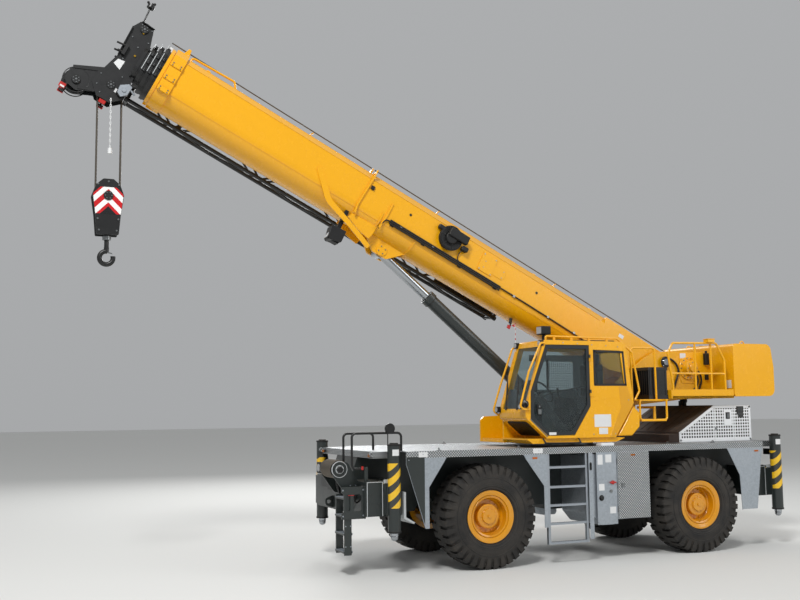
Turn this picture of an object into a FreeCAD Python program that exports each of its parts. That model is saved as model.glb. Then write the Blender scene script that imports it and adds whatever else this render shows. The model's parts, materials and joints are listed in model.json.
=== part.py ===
import FreeCAD, Part

import math
import os
import re

import Sketcher

# Rough-terrain mobile crane, millimetres. X points forward, Y to the cab side, Z up.
# The origin lies on the ground under the middle of the machine as it is parked.

# Driving sizes: alias, value
SIZES = [
    # wheels and axles
    ("front_axle_x", -120),
    ("wheelbase", 3790),
    ("wheel_track", 2090),
    ("tyre_diameter", 1500),
    ("tyre_width", 520),
    ("tread_width", 450),
    ("rim_seat_diameter", 635),
    ("rim_flange_diameter", 756),
    ("rim_width", 440),
    ("rim_wall", 16),
    ("rim_flange_wall", 14),
    ("bead_gap", 1),
    ("rim_dish_diameter", 542),
    ("wheel_disc_offset", 30),
    ("wheel_disc_wall", 26),
    ("hub_cover_diameter", 360),
    ("hub_cover_length", 90),
    ("hub_cap_diameter", 220),
    ("hub_cap_length", 26),
    ("lug_slot_width", 46),
    ("lug_slot_floor", 1436),
    ("lug_slot_foot", 1190),
    ("center_rib_width", 110),
    ("kingpin_y", 790),
    ("kingpin_diameter", 80),
    ("knuckle_diameter", 190),
    ("knuckle_height", 300),
    ("spindle_diameter", 280),
    ("axle_tube_diameter", 210),
    ("axle_drop_diameter", 400),
    ("axle_drop_width", 420),
    ("yoke_length", 170),
    ("yoke_plate", 40),
    ("seat_gap", 0.3),
    # carrier frame and deck
    ("deck_top", 1720),
    ("deck_plate", 12),
    ("deck_edge_depth", 95),
    ("deck_half_width", 1310),
    ("deck_waist_half_width", 1085),
    ("deck_front_x", 1640),
    ("deck_wide_front_x", 1230),
    ("deck_wide_rear_x", -5190),
    ("deck_rear_x", -5690),
    ("frame_half_width", 430),
    ("frame_bottom", 800),
    ("frame_axle_bottom", 975),
    ("frame_arch_half", 740),
    ("skirt_wall", 10),
    # outriggers
    ("front_beam_x", 1370),
    ("rear_beam_x", -5560),
    ("beam_spacing", 240),
    ("beam_width", 220),
    ("beam_height", 440),
    ("beam_center_z", 1060),
    ("beam_slide_gap", 6),
    ("outrigger_box_wall", 14),
    ("outrigger_box_half", 1060),
    ("lashing_y", 330),
    ("lashing_z", 930),
    ("lashing_reach", 70),
    ("lashing_wall", 30),
    ("lashing_bore", 60),
    ("jack_y", 1200),
    ("jack_tube_diameter", 180),
    ("jack_tube_bottom", 600),
    ("jack_tube_top", 1815),
    ("jack_rod_diameter", 120),
    ("jack_rod_bottom", 560),
    ("jack_rod_length", 800),
    ("jack_ball_diameter", 110),
    # slewing superstructure
    ("slew_x", -1990),
    ("slew_ring_outer", 1280),
    ("slew_ring_inner", 1060),
    ("turret_base_z", 1775),
    ("turret_base_wall", 30),
    ("turret_plate_y", 370),
    ("turret_plate_wall", 30),
    ("turret_front_x", -840),
    ("turret_front_top", 2180),
    ("turret_tail_x", -4980),
    ("turret_tail_bottom", 2420),
    ("turret_tail_top", 3240),
    ("boom_foot_x", -3970),
    ("boom_foot_z", 3060),
    ("boom_foot_pin_diameter", 130),
    ("counterweight_rear_x", -5850),
    ("counterweight_half_width", 950),
    ("counterweight_bottom", 2470),
    ("counterweight_top", 3360),
    ("winch_x", -4470),
    ("winch_z", 2960),
    ("winch_drum_diameter", 340),
    ("winch_flange_diameter", 460),
    # cab
    ("cab_outer_y", 1220),
    ("cab_inner_y", 404),
    ("cab_wall", 40),
    ("cab_bottom", 1850),
    ("cab_top", 3340),
    ("cab_nose_x", -760),
    ("cab_belt_z", 2250),
    ("cab_roof_front_x", -1110),
    ("cab_chin_x", -1130),
    ("cab_rear_x", -2720),
    ("cab_rear_belt_z", 2370),
    ("cab_roof_rear_x", -2590),
    ("cab_rear_foot_x", -2370),
    ("door_rear_x", -1920),
    ("door_gap", 6),
    ("guard_diameter", 32),
    # boom, in its own frame: along from the foot pin, height across it
    ("boom_angle", 27),
    ("boom_tube_start", 700),
    ("boom_length", 9420),
    ("boom_half_width", 320),
    ("boom_top", 180),
    ("boom_bottom", -660),
    ("boom_chamfer", 120),
    ("boom_wall", 10),
    ("section_step", 38),
    ("section_collar", 84),
    ("section_rim", 10),
    ("section_rim_width", 50),
    ("section_rear", 800),
    ("section_mouth", 140),
    ("section_fit", 0.5),
    ("telescope_stroke", 6150),
    ("lift_eye_along", 5280),
    ("lift_eye_height", -780),
    ("lift_foot_x", -2170),
    ("lift_foot_z", 2010),
    ("lift_barrel_diameter", 214),
    ("lift_collar_diameter", 244),
    ("lift_barrel_length", 3200),
    ("lift_rod_diameter", 150),
    ("lift_eye_width", 170),
    ("jib_rear", 2850),
    ("jib_length", 6800),
    ("jib_chord_diameter", 60),
    ("jib_lacing_diameter", 32),
    ("head_sheave_along", 9910),
    ("head_sheave_height", -730),
    ("head_sheave_diameter", 350),
    ("sheave_width", 50),
    ("sheave_spacing", 70),
    ("nose_sheave_along", 10340),
    ("nose_sheave_height", -924),
    ("idler_along", 9900),
    ("idler_height", 250),
    # hook block
    ("hook_block_top", 5560),
    ("hook_block_axle", 5320),
    ("hook_block_bottom", 4770),
    ("hook_bottom", 4330),
    ("rope_diameter", 19),
]

doc = FreeCAD.newDocument("crane")
sheet = doc.addObject("Spreadsheet::Sheet", "Size")
for row, (alias, value) in enumerate(SIZES, start=1):
    sheet.set("A%d" % row, alias)
    sheet.set("B%d" % row, str(value))
    sheet.setAlias("B%d" % row, alias)
doc.recompute()
ALIASES = {alias for alias, value in SIZES}


def bound(expression):
    """Turns an expression with plain aliases into one that reads the sheet."""
    def cell(match):
        word = match.group(0)
        return "Size." + word if word in ALIASES else word
    return re.sub(r"[a-z][a-z_0-9]*", cell, str(expression))


def number(expression):
    """The present value of an expression, from the sheet."""
    value = sheet.evalExpression(bound(expression))
    return float(value.Value if hasattr(value, "Value") else value)


def bind(item, path, expression):
    item.setExpression(path, bound(expression))


def place(item, x=0, y=0, z=0):
    for axis, value in zip("xyz", (x, y, z)):
        bind(item, ".Placement.Base." + axis, value)
    return item


def box(name, x, y, z):
    """A block between two corners, each pair as (low, high)."""
    item = doc.addObject("Part::Box", name)
    for prop, (low, high) in zip(("Length", "Width", "Height"), (x, y, z)):
        bind(item, prop, "(%s) - (%s)" % (high, low))
    return place(item, x[0], y[0], z[0])


TURNS = {
    "x": FreeCAD.Rotation(FreeCAD.Vector(0, 1, 0), 90),
    "y": FreeCAD.Rotation(FreeCAD.Vector(1, 0, 0), -90),
    "z": FreeCAD.Rotation(),
}


def rod(name, axis, start, length, diameter):
    """A round bar along an axis from its start point."""
    item = doc.addObject("Part::Cylinder", name)
    item.Placement.Rotation = TURNS[axis]
    bind(item, "Radius", "(%s) / 2" % diameter)
    bind(item, "Height", length)
    return place(item, *start)


def cut(name, base, *tools):
    item = doc.addObject("Part::Cut", name)
    item.Base = base
    item.Tool = tools[0] if len(tools) == 1 else fuse(name + "_tools", *tools)
    return item


def fuse(name, *parts):
    item = doc.addObject("Part::MultiFuse", name)
    item.Shapes = list(parts)
    return item


def common(name, *parts):
    item = doc.addObject("Part::MultiCommon", name)
    item.Shapes = list(parts)
    return item


def group(name, *parts):
    item = doc.addObject("Part::Compound", name)
    item.Links = list(parts)
    return item


def mirror(name, source):
    """The right-hand twin of a left-hand piece."""
    item = doc.addObject("Part::Mirroring", name)
    item.Source = source
    item.Base = FreeCAD.Vector(0, 0, 0)
    item.Normal = FreeCAD.Vector(0, 1, 0)
    return item


def outline(sketch, points, holes=()):
    """Draws a closed outline of (across, up) or (across, up, corner radius) points, and round holes."""
    corners = []
    for point in points:
        spot = FreeCAD.Vector(number(point[0]), number(point[1]), 0)
        corners.append((spot, number(point[2]) if len(point) > 2 else 0.0, point))
    count = len(corners)
    ends = []
    for index, (spot, radius, point) in enumerate(corners):
        before = corners[index - 1][0]
        after = corners[(index + 1) % count][0]
        if not radius:
            ends.append((spot, spot, None))
            continue
        back = (before - spot).normalize()
        ahead = (after - spot).normalize()
        half = back.getAngle(ahead) / 2
        reach = radius / math.tan(half)
        middle = spot + (back + ahead).normalize() * (radius / math.sin(half))
        ends.append((spot + back * reach, spot + ahead * reach, middle))
    for index in range(count):
        start = ends[index][1]
        stop = ends[(index + 1) % count][0]
        sketch.addGeometry(Part.LineSegment(start, stop), False)
    limits = []
    for index, (spot, radius, point) in enumerate(corners):
        before_line = (index - 1) % count
        if ends[index][2] is None:
            sketch.addConstraint(Sketcher.Constraint("Coincident", before_line, 2, index, 1))
            limits.append((index, 1, point))
            continue
        middle = ends[index][2]
        first = ends[index][0] - middle
        last = ends[index][1] - middle
        turn = first.x * last.y - first.y * last.x
        low, high = (first, last) if turn > 0 else (last, first)
        circle = Part.Circle(middle, FreeCAD.Vector(0, 0, 1), radius)
        arc = sketch.addGeometry(
            Part.ArcOfCircle(circle, math.atan2(low.y, low.x), math.atan2(high.y, high.x)), False
        )
        first_end, last_end = (1, 2) if turn > 0 else (2, 1)
        sketch.addConstraint(Sketcher.Constraint("Tangent", before_line, 2, arc, first_end))
        sketch.addConstraint(Sketcher.Constraint("Tangent", arc, last_end, index, 1))
        rule = sketch.addConstraint(Sketcher.Constraint("Radius", arc, radius))
        sketch.setExpression("Constraints[%d]" % rule, bound(point[2]))
        corner = sketch.addGeometry(Part.Point(spot), True)
        sketch.addConstraint(Sketcher.Constraint("PointOnObject", corner, 1, before_line))
        sketch.addConstraint(Sketcher.Constraint("PointOnObject", corner, 1, index))
        limits.append((corner, 1, point))
    for across, up, diameter in holes:
        spot = FreeCAD.Vector(number(across), number(up), 0)
        circle = Part.Circle(spot, FreeCAD.Vector(0, 0, 1), number(diameter) / 2)
        ring = sketch.addGeometry(circle, False)
        rule = sketch.addConstraint(Sketcher.Constraint("Diameter", ring, number(diameter)))
        sketch.setExpression("Constraints[%d]" % rule, bound(diameter))
        limits.append((ring, 3, (across, up)))
    for geometry, end, point in limits:
        for kind, value in (("DistanceX", point[0]), ("DistanceY", point[1])):
            rule = sketch.addConstraint(Sketcher.Constraint(kind, -1, 1, geometry, end, number(value)))
            sketch.setExpression("Constraints[%d]" % rule, bound(value))


def start_body(name, plane, offset, points, holes=()):
    body = doc.addObject("PartDesign::Body", name)
    sketch = body.newObject("Sketcher::SketchObject", name + "_outline")
    support = [item for item in body.Origin.OriginFeatures if item.Role == plane][0]
    sketch.AttachmentSupport = [(support, "")]
    sketch.MapMode = "FlatFace"
    bind(sketch, ".AttachmentOffset.Base.z", offset)
    outline(sketch, points, holes)
    return body, sketch


def side_plate(name, points, low, high, holes=()):
    """A plate seen from the side: its outline in X and Z, between two values of Y."""
    body, sketch = start_body(name, "XZ_Plane", "-(%s)" % high, points, holes)
    pad = body.newObject("PartDesign::Pad", name + "_pad")
    pad.Profile = sketch
    bind(pad, "Length", "(%s) - (%s)" % (high, low))
    return body


def floor_plate(name, points, low, high, holes=()):
    """A plate seen from above: its outline in X and Y, between two values of Z."""
    body, sketch = start_body(name, "XY_Plane", low, points, holes)
    pad = body.newObject("PartDesign::Pad", name + "_pad")
    pad.Profile = sketch
    bind(pad, "Length", "(%s) - (%s)" % (high, low))
    return body


def bar(name, points, low, high, holes=()):
    """A bar seen from its end: its outline in Y and Z, between two values of X."""
    body, sketch = start_body(name, "YZ_Plane", low, points, holes)
    pad = body.newObject("PartDesign::Pad", name + "_pad")
    pad.Profile = sketch
    bind(pad, "Length", "(%s) - (%s)" % (high, low))
    return body


def turned(name, points):
    """A turned piece about the Y axis: its outline as (radius, Y)."""
    body, sketch = start_body(name, "XY_Plane", 0, points)
    spin = body.newObject("PartDesign::Revolution", name + "_spin")
    spin.Profile = sketch
    spin.ReferenceAxis = (sketch, ["V_Axis"])
    spin.Angle = 360
    return body


def on_boom(item):
    """Turns a piece drawn along the boom to the boom's resting angle about its foot pin."""
    item.Placement.Rotation = FreeCAD.Rotation(FreeCAD.Vector(0, -1, 0), number("boom_angle"))
    bind(item, ".Placement.Rotation.Angle", "boom_angle")
    return place(item, "boom_foot_x", 0, "boom_foot_z")


def tube_path(name, points, diameter, bend=60):
    """A round tube along a path of points, bent at its corners."""
    spots = [FreeCAD.Vector(*[number(value) for value in point]) for point in points]
    edges = []
    last = spots[0]
    for before, corner, after in zip(spots, spots[1:], spots[2:]):
        back = (before - corner).normalize()
        ahead = (after - corner).normalize()
        half = back.getAngle(ahead) / 2
        reach = min(bend / math.tan(half), 0.45 * min((before - corner).Length, (after - corner).Length))
        radius = reach * math.tan(half)
        middle = corner + (back + ahead).normalize() * (radius / math.sin(half))
        start, stop = corner + back * reach, corner + ahead * reach
        crown = middle + (corner - middle).normalize() * radius
        edges.append(Part.LineSegment(last, start).toShape())
        edges.append(Part.Arc(start, crown, stop).toShape())
        last = stop
    edges.append(Part.LineSegment(last, spots[-1]).toShape())
    wire = Part.Wire(edges)
    first = (spots[1] - spots[0]).normalize()
    profile = Part.Wire(Part.Circle(spots[0], first, number(diameter) / 2).toShape())
    item = doc.addObject("Part::Feature", name)
    item.Shape = wire.makePipeShell([profile], True, False)
    return item


def strut(name, start, stop, diameter):
    """A straight round bar between two points."""
    first = FreeCAD.Vector(*[number(value) for value in start])
    last = FreeCAD.Vector(*[number(value) for value in stop])
    item = doc.addObject("Part::Cylinder", name)
    bind(item, "Radius", "(%s) / 2" % diameter)
    item.Height = (last - first).Length
    item.Placement = FreeCAD.Placement(first, FreeCAD.Rotation(FreeCAD.Vector(0, 0, 1), last - first))
    return item


nodes = []


def node(name, item):
    """Names a finished sub-part."""
    item.Label = name
    nodes.append(item)
    return item


# wheels, knuckles and axles
CORNERS = [
    # name, axle x, side
    ("front_left", "front_axle_x", 1),
    ("front_right", "front_axle_x", -1),
    ("rear_left", "front_axle_x - wheelbase", 1),
    ("rear_right", "front_axle_x - wheelbase", -1),
]

RIM = [
    ("rim_flange_diameter / 2", "-rim_width / 2"),
    ("rim_flange_diameter / 2", "rim_flange_wall - rim_width / 2"),
    ("rim_seat_diameter / 2", "rim_flange_wall - rim_width / 2"),
    ("rim_seat_diameter / 2", "rim_width / 2 - rim_flange_wall"),
    ("rim_flange_diameter / 2", "rim_width / 2 - rim_flange_wall"),
    ("rim_flange_diameter / 2", "rim_width / 2"),
    ("rim_flange_diameter / 2 - 24", "rim_width / 2"),
    ("rim_seat_diameter / 2 - 7", "rim_width / 2 - 11"),
    ("rim_dish_diameter / 2 + 26", "rim_width / 2 - 34"),
    ("rim_dish_diameter / 2 + 12", "rim_width / 2 - 22"),
    ("rim_dish_diameter / 2", "rim_width / 2 - 26"),
    ("rim_dish_diameter / 2 - 6", "wheel_disc_offset + wheel_disc_wall + 30"),
    ("rim_dish_diameter / 2 - 36", "wheel_disc_offset + wheel_disc_wall"),
    ("hub_cover_diameter / 2", "wheel_disc_offset + wheel_disc_wall"),
    ("hub_cover_diameter / 2 - 6", "wheel_disc_offset + wheel_disc_wall + hub_cover_length - 8"),
    ("hub_cover_diameter / 2 - 18", "wheel_disc_offset + wheel_disc_wall + hub_cover_length"),
    ("hub_cap_diameter / 2", "wheel_disc_offset + wheel_disc_wall + hub_cover_length"),
    ("hub_cap_diameter / 2 - 6", "wheel_disc_offset + wheel_disc_wall + hub_cover_length + hub_cap_length"),
    (0, "wheel_disc_offset + wheel_disc_wall + hub_cover_length + hub_cap_length"),
    (0, "wheel_disc_offset"),
    ("rim_seat_diameter / 2 - rim_wall", "wheel_disc_offset"),
    ("rim_seat_diameter / 2 - rim_wall", "-rim_width / 2"),
]
TYRE_HALF = [
    ("rim_seat_diameter / 2 + bead_gap", "rim_width / 2 - rim_flange_wall"),
    ("rim_flange_diameter / 2 + 4", "rim_width / 2 - rim_flange_wall"),
    ("rim_flange_diameter / 2 + 22", "tyre_width / 2 - 22"),
    ("rim_flange_diameter / 2 + 70", "tyre_width / 2 - 4"),
    ("rim_flange_diameter / 2 + 130", "tyre_width / 2"),
    ("lug_slot_foot / 2 - 10", "tyre_width / 2 - 6"),
    ("tyre_diameter / 2 - 60", "tyre_width / 2 - 16"),
    ("tyre_diameter / 2 - 12", "tread_width / 2 + 8"),
    ("tyre_diameter / 2", "tread_width / 2 - 20"),
]


def other_side(points):
    return [(radius, "-(%s)" % across) for radius, across in reversed(points)]


def tyre():
    """A tyre with a plain centre rib and slots between the lugs of both shoulders."""
    body, sketch = start_body("tyre", "XY_Plane", 0, TYRE_HALF + other_side(TYRE_HALF))
    spin = body.newObject("PartDesign::Revolution", "tyre_spin")
    spin.Profile = sketch
    spin.ReferenceAxis = (sketch, ["V_Axis"])
    spin.Angle = 360
    doc.recompute()
    for side in (1, -1):
        slot = [
            ("lug_slot_floor / 2", "center_rib_width / 2"),
            ("tyre_diameter / 2 + 20", "center_rib_width / 2"),
            ("tyre_diameter / 2 + 20", "tyre_width / 2 + 20"),
            ("lug_slot_foot / 2", "tyre_width / 2 + 20"),
            ("lug_slot_foot / 2", "tyre_width / 2 - 8"),
            ("lug_slot_foot / 2 + 60", "tyre_width / 2 - 34"),
            ("lug_slot_floor / 2", "tread_width / 2 - 10"),
        ]
        tag = "left" if side > 0 else "right"
        outline_points = [(radius, "%d * (%s)" % (side, across)) for radius, across in slot]
        cutter = body.newObject("Sketcher::SketchObject", "slot_outline_" + tag)
        support = [item for item in body.Origin.OriginFeatures if item.Role == "XY_Plane"][0]
        cutter.AttachmentSupport = [(support, "")]
        cutter.MapMode = "FlatFace"
        if side < 0:
            half_pitch = FreeCAD.Rotation(FreeCAD.Vector(0, 1, 0), 180.0 / LUGS)
            cutter.AttachmentOffset = FreeCAD.Placement(FreeCAD.Vector(), half_pitch)
        outline(cutter, outline_points)
        pocket = body.newObject("PartDesign::Pocket", "slot_" + tag)
        pocket.Profile = cutter
        pocket.Midplane = True
        bind(pocket, "Length", "lug_slot_width")
        pattern = body.newObject("PartDesign::PolarPattern", "slots_" + tag)
        pattern.Originals = [pocket]
        pattern.Axis = (sketch, ["V_Axis"])
        pattern.Angle = 360
        pattern.Occurrences = LUGS
        body.Tip = pattern
        doc.recompute()
    return body


LUGS = 36
MASTERS = {"rim_": turned("rim", RIM), "tyre_": tyre()}


def wheel(corner, axle_x, side):
    for kind, master in MASTERS.items():
        piece = group(kind + corner, master)
        piece.Placement.Rotation = FreeCAD.Rotation(FreeCAD.Vector(0, 0, 1), 0 if side > 0 else 180)
        place(piece, axle_x, "%d * wheel_track / 2" % side, "tyre_diameter / 2")
        node(kind + corner, piece)


def knuckle(corner, axle_x, side):
    hub_z = "tyre_diameter / 2"
    core = rod("core_" + corner, "z", (axle_x, "%d * kingpin_y" % side, hub_z + " - knuckle_height / 2"),
               "knuckle_height", "knuckle_diameter")
    pin = rod("kingpin_" + corner, "z",
              (axle_x, "%d * kingpin_y" % side, hub_z + " - knuckle_height / 2 - yoke_plate"),
              "knuckle_height + 2 * yoke_plate", "kingpin_diameter")
    reach = "wheel_track / 2 + wheel_disc_offset - seat_gap - kingpin_y"
    start = "kingpin_y" if side > 0 else "-(wheel_track / 2 + wheel_disc_offset - seat_gap)"
    spindle = rod("spindle_" + corner, "y", (axle_x, start, hub_z), reach, "spindle_diameter")
    node("knuckle_" + corner, fuse("knuckle_" + corner, core, pin, spindle))


for corner, axle_x, side in CORNERS:
    wheel(corner, axle_x, side)
    knuckle(corner, axle_x, side)


def axle(name, axle_x):
    """A drive axle: two tubes, the differential between them and a yoke for each kingpin."""
    z = "tyre_diameter / 2"
    reach = "kingpin_y - yoke_length / 2 - 40"
    tube = rod(name + "_tube", "y", (axle_x, "-(%s)" % reach, z), "2 * (%s)" % reach, "axle_tube_diameter")
    drop = rod(name + "_drop", "x", ("(%s) - axle_drop_width / 2" % axle_x, 0, z),
               "axle_drop_width", "axle_drop_diameter")
    parts = [tube, drop]
    pins = []
    for side, tag in ((1, "_left"), (-1, "_right")):
        inner, outer = "kingpin_y - yoke_length", "kingpin_y + yoke_length / 2"
        web = ("(%s) - 30" % inner, inner)
        edges = [(inner, outer), web] if side > 0 else [("-(%s)" % outer, "-(%s)" % inner),
                                                        ("-(%s)" % web[1], "-(%s)" % web[0])]
        x = ("(%s) - yoke_length / 2" % axle_x, "(%s) + yoke_length / 2" % axle_x)
        low = z + " - knuckle_height / 2 - yoke_plate"
        high = z + " + knuckle_height / 2 + yoke_plate"
        parts.append(box(name + tag + "_bottom", x, edges[0], (low, z + " - knuckle_height / 2 - seat_gap")))
        parts.append(box(name + tag + "_top", x, edges[0], (z + " + knuckle_height / 2 + seat_gap", high)))
        parts.append(box(name + tag + "_web", x, edges[1], (low, high)))
        pins.append(rod(name + tag + "_bore", "z", (axle_x, "%d * kingpin_y" % side, low),
                        "knuckle_height + 2 * yoke_plate", "kingpin_diameter + 2 * seat_gap"))
    mount = box(name + "_mount", ("(%s) - 110" % axle_x, "(%s) + 110" % axle_x),
                ("-frame_half_width", "frame_half_width"), (z + " + 60", "frame_axle_bottom"))
    return cut(name, fuse(name + "_body", mount, *parts), *pins)


node("drive_axles", group("drive_axles", axle("front_axle", "front_axle_x"),
                          axle("rear_axle", "front_axle_x - wheelbase")))

# carrier frame: a box girder, arched over both axles, with the outrigger boxes at its ends
REAR_AXLE = "front_axle_x - wheelbase"
BOX_LOW = "beam_center_z - beam_height / 2 - beam_slide_gap - outrigger_box_wall"
BOX_HIGH = "beam_center_z + beam_height / 2 + beam_slide_gap + outrigger_box_wall"
CELL_HALF = "beam_width / 2 + beam_slide_gap + outrigger_box_wall"
FRONT_BOX = ("front_beam_x - beam_width / 2 - beam_slide_gap - outrigger_box_wall",
             "front_beam_x + beam_spacing + beam_width / 2 + beam_slide_gap + outrigger_box_wall")
REAR_BOX = ("rear_beam_x - beam_width / 2 - beam_slide_gap - outrigger_box_wall",
            "rear_beam_x + beam_spacing + beam_width / 2 + beam_slide_gap + outrigger_box_wall")
FRAME = [
    ("deck_front_x - deck_plate", "deck_top - deck_plate"),
    ("deck_front_x - deck_plate", "deck_top - deck_edge_depth"),
    (FRONT_BOX[1], BOX_HIGH),
    (FRONT_BOX[0], BOX_HIGH),
    (FRONT_BOX[0], "frame_bottom"),
    ("front_axle_x + frame_arch_half + 100", "frame_bottom"),
    ("front_axle_x + frame_arch_half", "frame_axle_bottom"),
    ("front_axle_x - frame_arch_half", "frame_axle_bottom"),
    ("front_axle_x - frame_arch_half - 100", "frame_bottom"),
    (REAR_AXLE + " + frame_arch_half + 100", "frame_bottom"),
    (REAR_AXLE + " + frame_arch_half", "frame_axle_bottom"),
    (REAR_AXLE + " - frame_arch_half", "frame_axle_bottom"),
    (REAR_AXLE + " - frame_arch_half - 100", "frame_bottom"),
    (REAR_BOX[1], "frame_bottom"),
    (REAR_BOX[1], BOX_HIGH),
    (REAR_BOX[0], BOX_HIGH),
    ("deck_rear_x + deck_plate", "deck_top - deck_edge_depth"),
    ("deck_rear_x + deck_plate", "deck_top - deck_plate"),
]
node("chassis_frame", side_plate("chassis_frame", FRAME, "-frame_half_width", "frame_half_width"))

DECK_PLAN = [
    ("deck_front_x", "-deck_waist_half_width"),
    ("deck_front_x", "deck_waist_half_width"),
    ("deck_wide_front_x", "deck_waist_half_width"),
    ("deck_wide_front_x", "deck_half_width"),
    ("deck_wide_rear_x", "deck_half_width"),
    ("deck_wide_rear_x", "deck_waist_half_width"),
    ("deck_rear_x", "deck_waist_half_width"),
    ("deck_rear_x", "-deck_waist_half_width"),
    ("deck_wide_rear_x", "-deck_waist_half_width"),
    ("deck_wide_rear_x", "-deck_half_width"),
    ("deck_wide_front_x", "-deck_half_width"),
    ("deck_wide_front_x", "-deck_waist_half_width"),
]

CORNER_ARM = [
    ("deck_front_x + 62", "deck_top - 72", 35), ("deck_front_x + 62", "deck_top", 35),
    ("deck_front_x - 110", "deck_top"), ("deck_front_x - 110", "deck_top - 72"),
]


def deck():
    plate = floor_plate("deck_sheet", DECK_PLAN, "deck_top - deck_plate", "deck_top",
                        [("slew_x", 0, "slew_ring_outer + 40")])
    edges = []
    for side, tag in ((1, "left"), (-1, "right")):
        low, high = "deck_half_width - deck_plate", "deck_half_width"
        y = (low, high) if side > 0 else ("-(%s)" % high, "-(%s)" % low)
        edges.append(box("deck_edge_" + tag, ("deck_wide_rear_x", "deck_wide_front_x"), y,
                         ("deck_top - deck_edge_depth", "deck_top - deck_plate")))
        low, high = "deck_waist_half_width - deck_plate", "deck_waist_half_width"
        y = (low, high) if side > 0 else ("-(%s)" % high, "-(%s)" % low)
        for x in (("deck_wide_front_x", "deck_front_x"), ("deck_rear_x", "deck_wide_rear_x")):
            edges.append(box("waist_edge_" + tag, x, y, ("deck_top - deck_edge_depth", "deck_top - deck_plate")))
    for x, tag in (("deck_front_x", "front"), ("deck_rear_x + deck_plate", "rear")):
        edges.append(box("deck_edge_" + tag, ("(%s) - deck_plate" % x, x),
                         ("-deck_waist_half_width", "deck_waist_half_width"),
                         ("deck_top - deck_edge_depth", "deck_top - deck_plate")))
    arm = side_plate("corner_arm", CORNER_ARM, "deck_waist_half_width - 2", "deck_waist_half_width + 16",
                     [("deck_front_x + 26", "deck_top - 36", 26)])
    return fuse("deck", plate, arm, mirror("corner_arm_right", arm), *edges)


node("deck", deck())
node("slew_ring", cut("slew_ring",
                      rod("slew_ring_disc", "z", ("slew_x", 0, "deck_top - deck_plate"),
                          "turret_base_z - seat_gap - deck_top + deck_plate", "slew_ring_outer"),
                      rod("slew_ring_bore", "z", ("slew_x", 0, "deck_top - deck_plate"),
                          "turret_base_z - deck_top + deck_plate", "slew_ring_inner")))


def outrigger_box(name, beam_x, outward):
    """Two square tubes side by side, one for each beam, closed at the far end, with lashing lugs at the outside."""
    low_x = "(%s) - (%s)" % (beam_x, CELL_HALF)
    high_x = "(%s) + beam_spacing + %s" % (beam_x, CELL_HALF)
    block = box(name + "_block", (low_x, high_x), ("-outrigger_box_half", "outrigger_box_half"),
                (BOX_LOW, BOX_HIGH))
    cavities = []
    pads = []
    for x, side in ((beam_x, 1), ("(%s) + beam_spacing" % beam_x, -1)):
        reach = "beam_width / 2 + beam_slide_gap"
        cavities.append(box(name + "_cavity", ("(%s) - (%s)" % (x, reach), "(%s) + %s" % (x, reach)),
                            ("-outrigger_box_half - 1", "outrigger_box_half + 1"),
                            ("beam_center_z - beam_height / 2 - beam_slide_gap",
                             "beam_center_z + beam_height / 2 + beam_slide_gap")))
        mouth = ("outrigger_box_half - 100", "outrigger_box_half")
        y = mouth if side > 0 else ("-(%s)" % mouth[1], "-(%s)" % mouth[0])
        pads.append(box(name + "_pad", ("(%s) - 90" % x, "(%s) + 90" % x), y,
                        ("beam_center_z - beam_height / 2 - beam_slide_gap",
                         "beam_center_z - beam_height / 2 - seat_gap")))
        lid = ("outrigger_box_half", "outrigger_box_half + 10")
        y = ("-(%s)" % lid[1], "-(%s)" % lid[0]) if side > 0 else lid
        pads.append(box(name + "_lid", ("(%s) - (%s) - 4" % (x, reach), "(%s) + %s + 4" % (x, reach)), y,
                        (BOX_LOW, BOX_HIGH)))
        grip = ("outrigger_box_half - 14", "outrigger_box_half + 8")
        y = ("-(%s)" % grip[1], "-(%s)" % grip[0]) if side > 0 else grip
        for spot in (-80, 80):
            pads.append(box(name + "_lid_lug", ("(%s) + %d" % (x, spot - 12), "(%s) + %d" % (x, spot + 12)), y,
                            (BOX_HIGH + " - 5", BOX_HIGH + " + 24")))
    end = high_x if outward > 0 else low_x
    eye_x = "(%s) + %d * lashing_reach" % (end, outward)
    tip = "(%s) + %d * (lashing_reach + 55)" % (end, outward)
    ear = [(end, "lashing_z - 90"), (tip, "lashing_z - 50", 45), (tip, "lashing_z + 50", 45), (end, "lashing_z + 90")]
    lug = side_plate(name + "_lashing_lug", ear, "lashing_y - lashing_wall / 2", "lashing_y + lashing_wall / 2",
                     [(eye_x, "lashing_z", "lashing_bore")])
    return fuse(name, cut(name + "_tubes", block, *cavities), lug, mirror(name + "_lashing_right", lug), *pads)


node("outrigger_boxes", group("outrigger_boxes", outrigger_box("front_outrigger_box", "front_beam_x", 1),
                              outrigger_box("rear_outrigger_box", "rear_beam_x", -1)))


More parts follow.
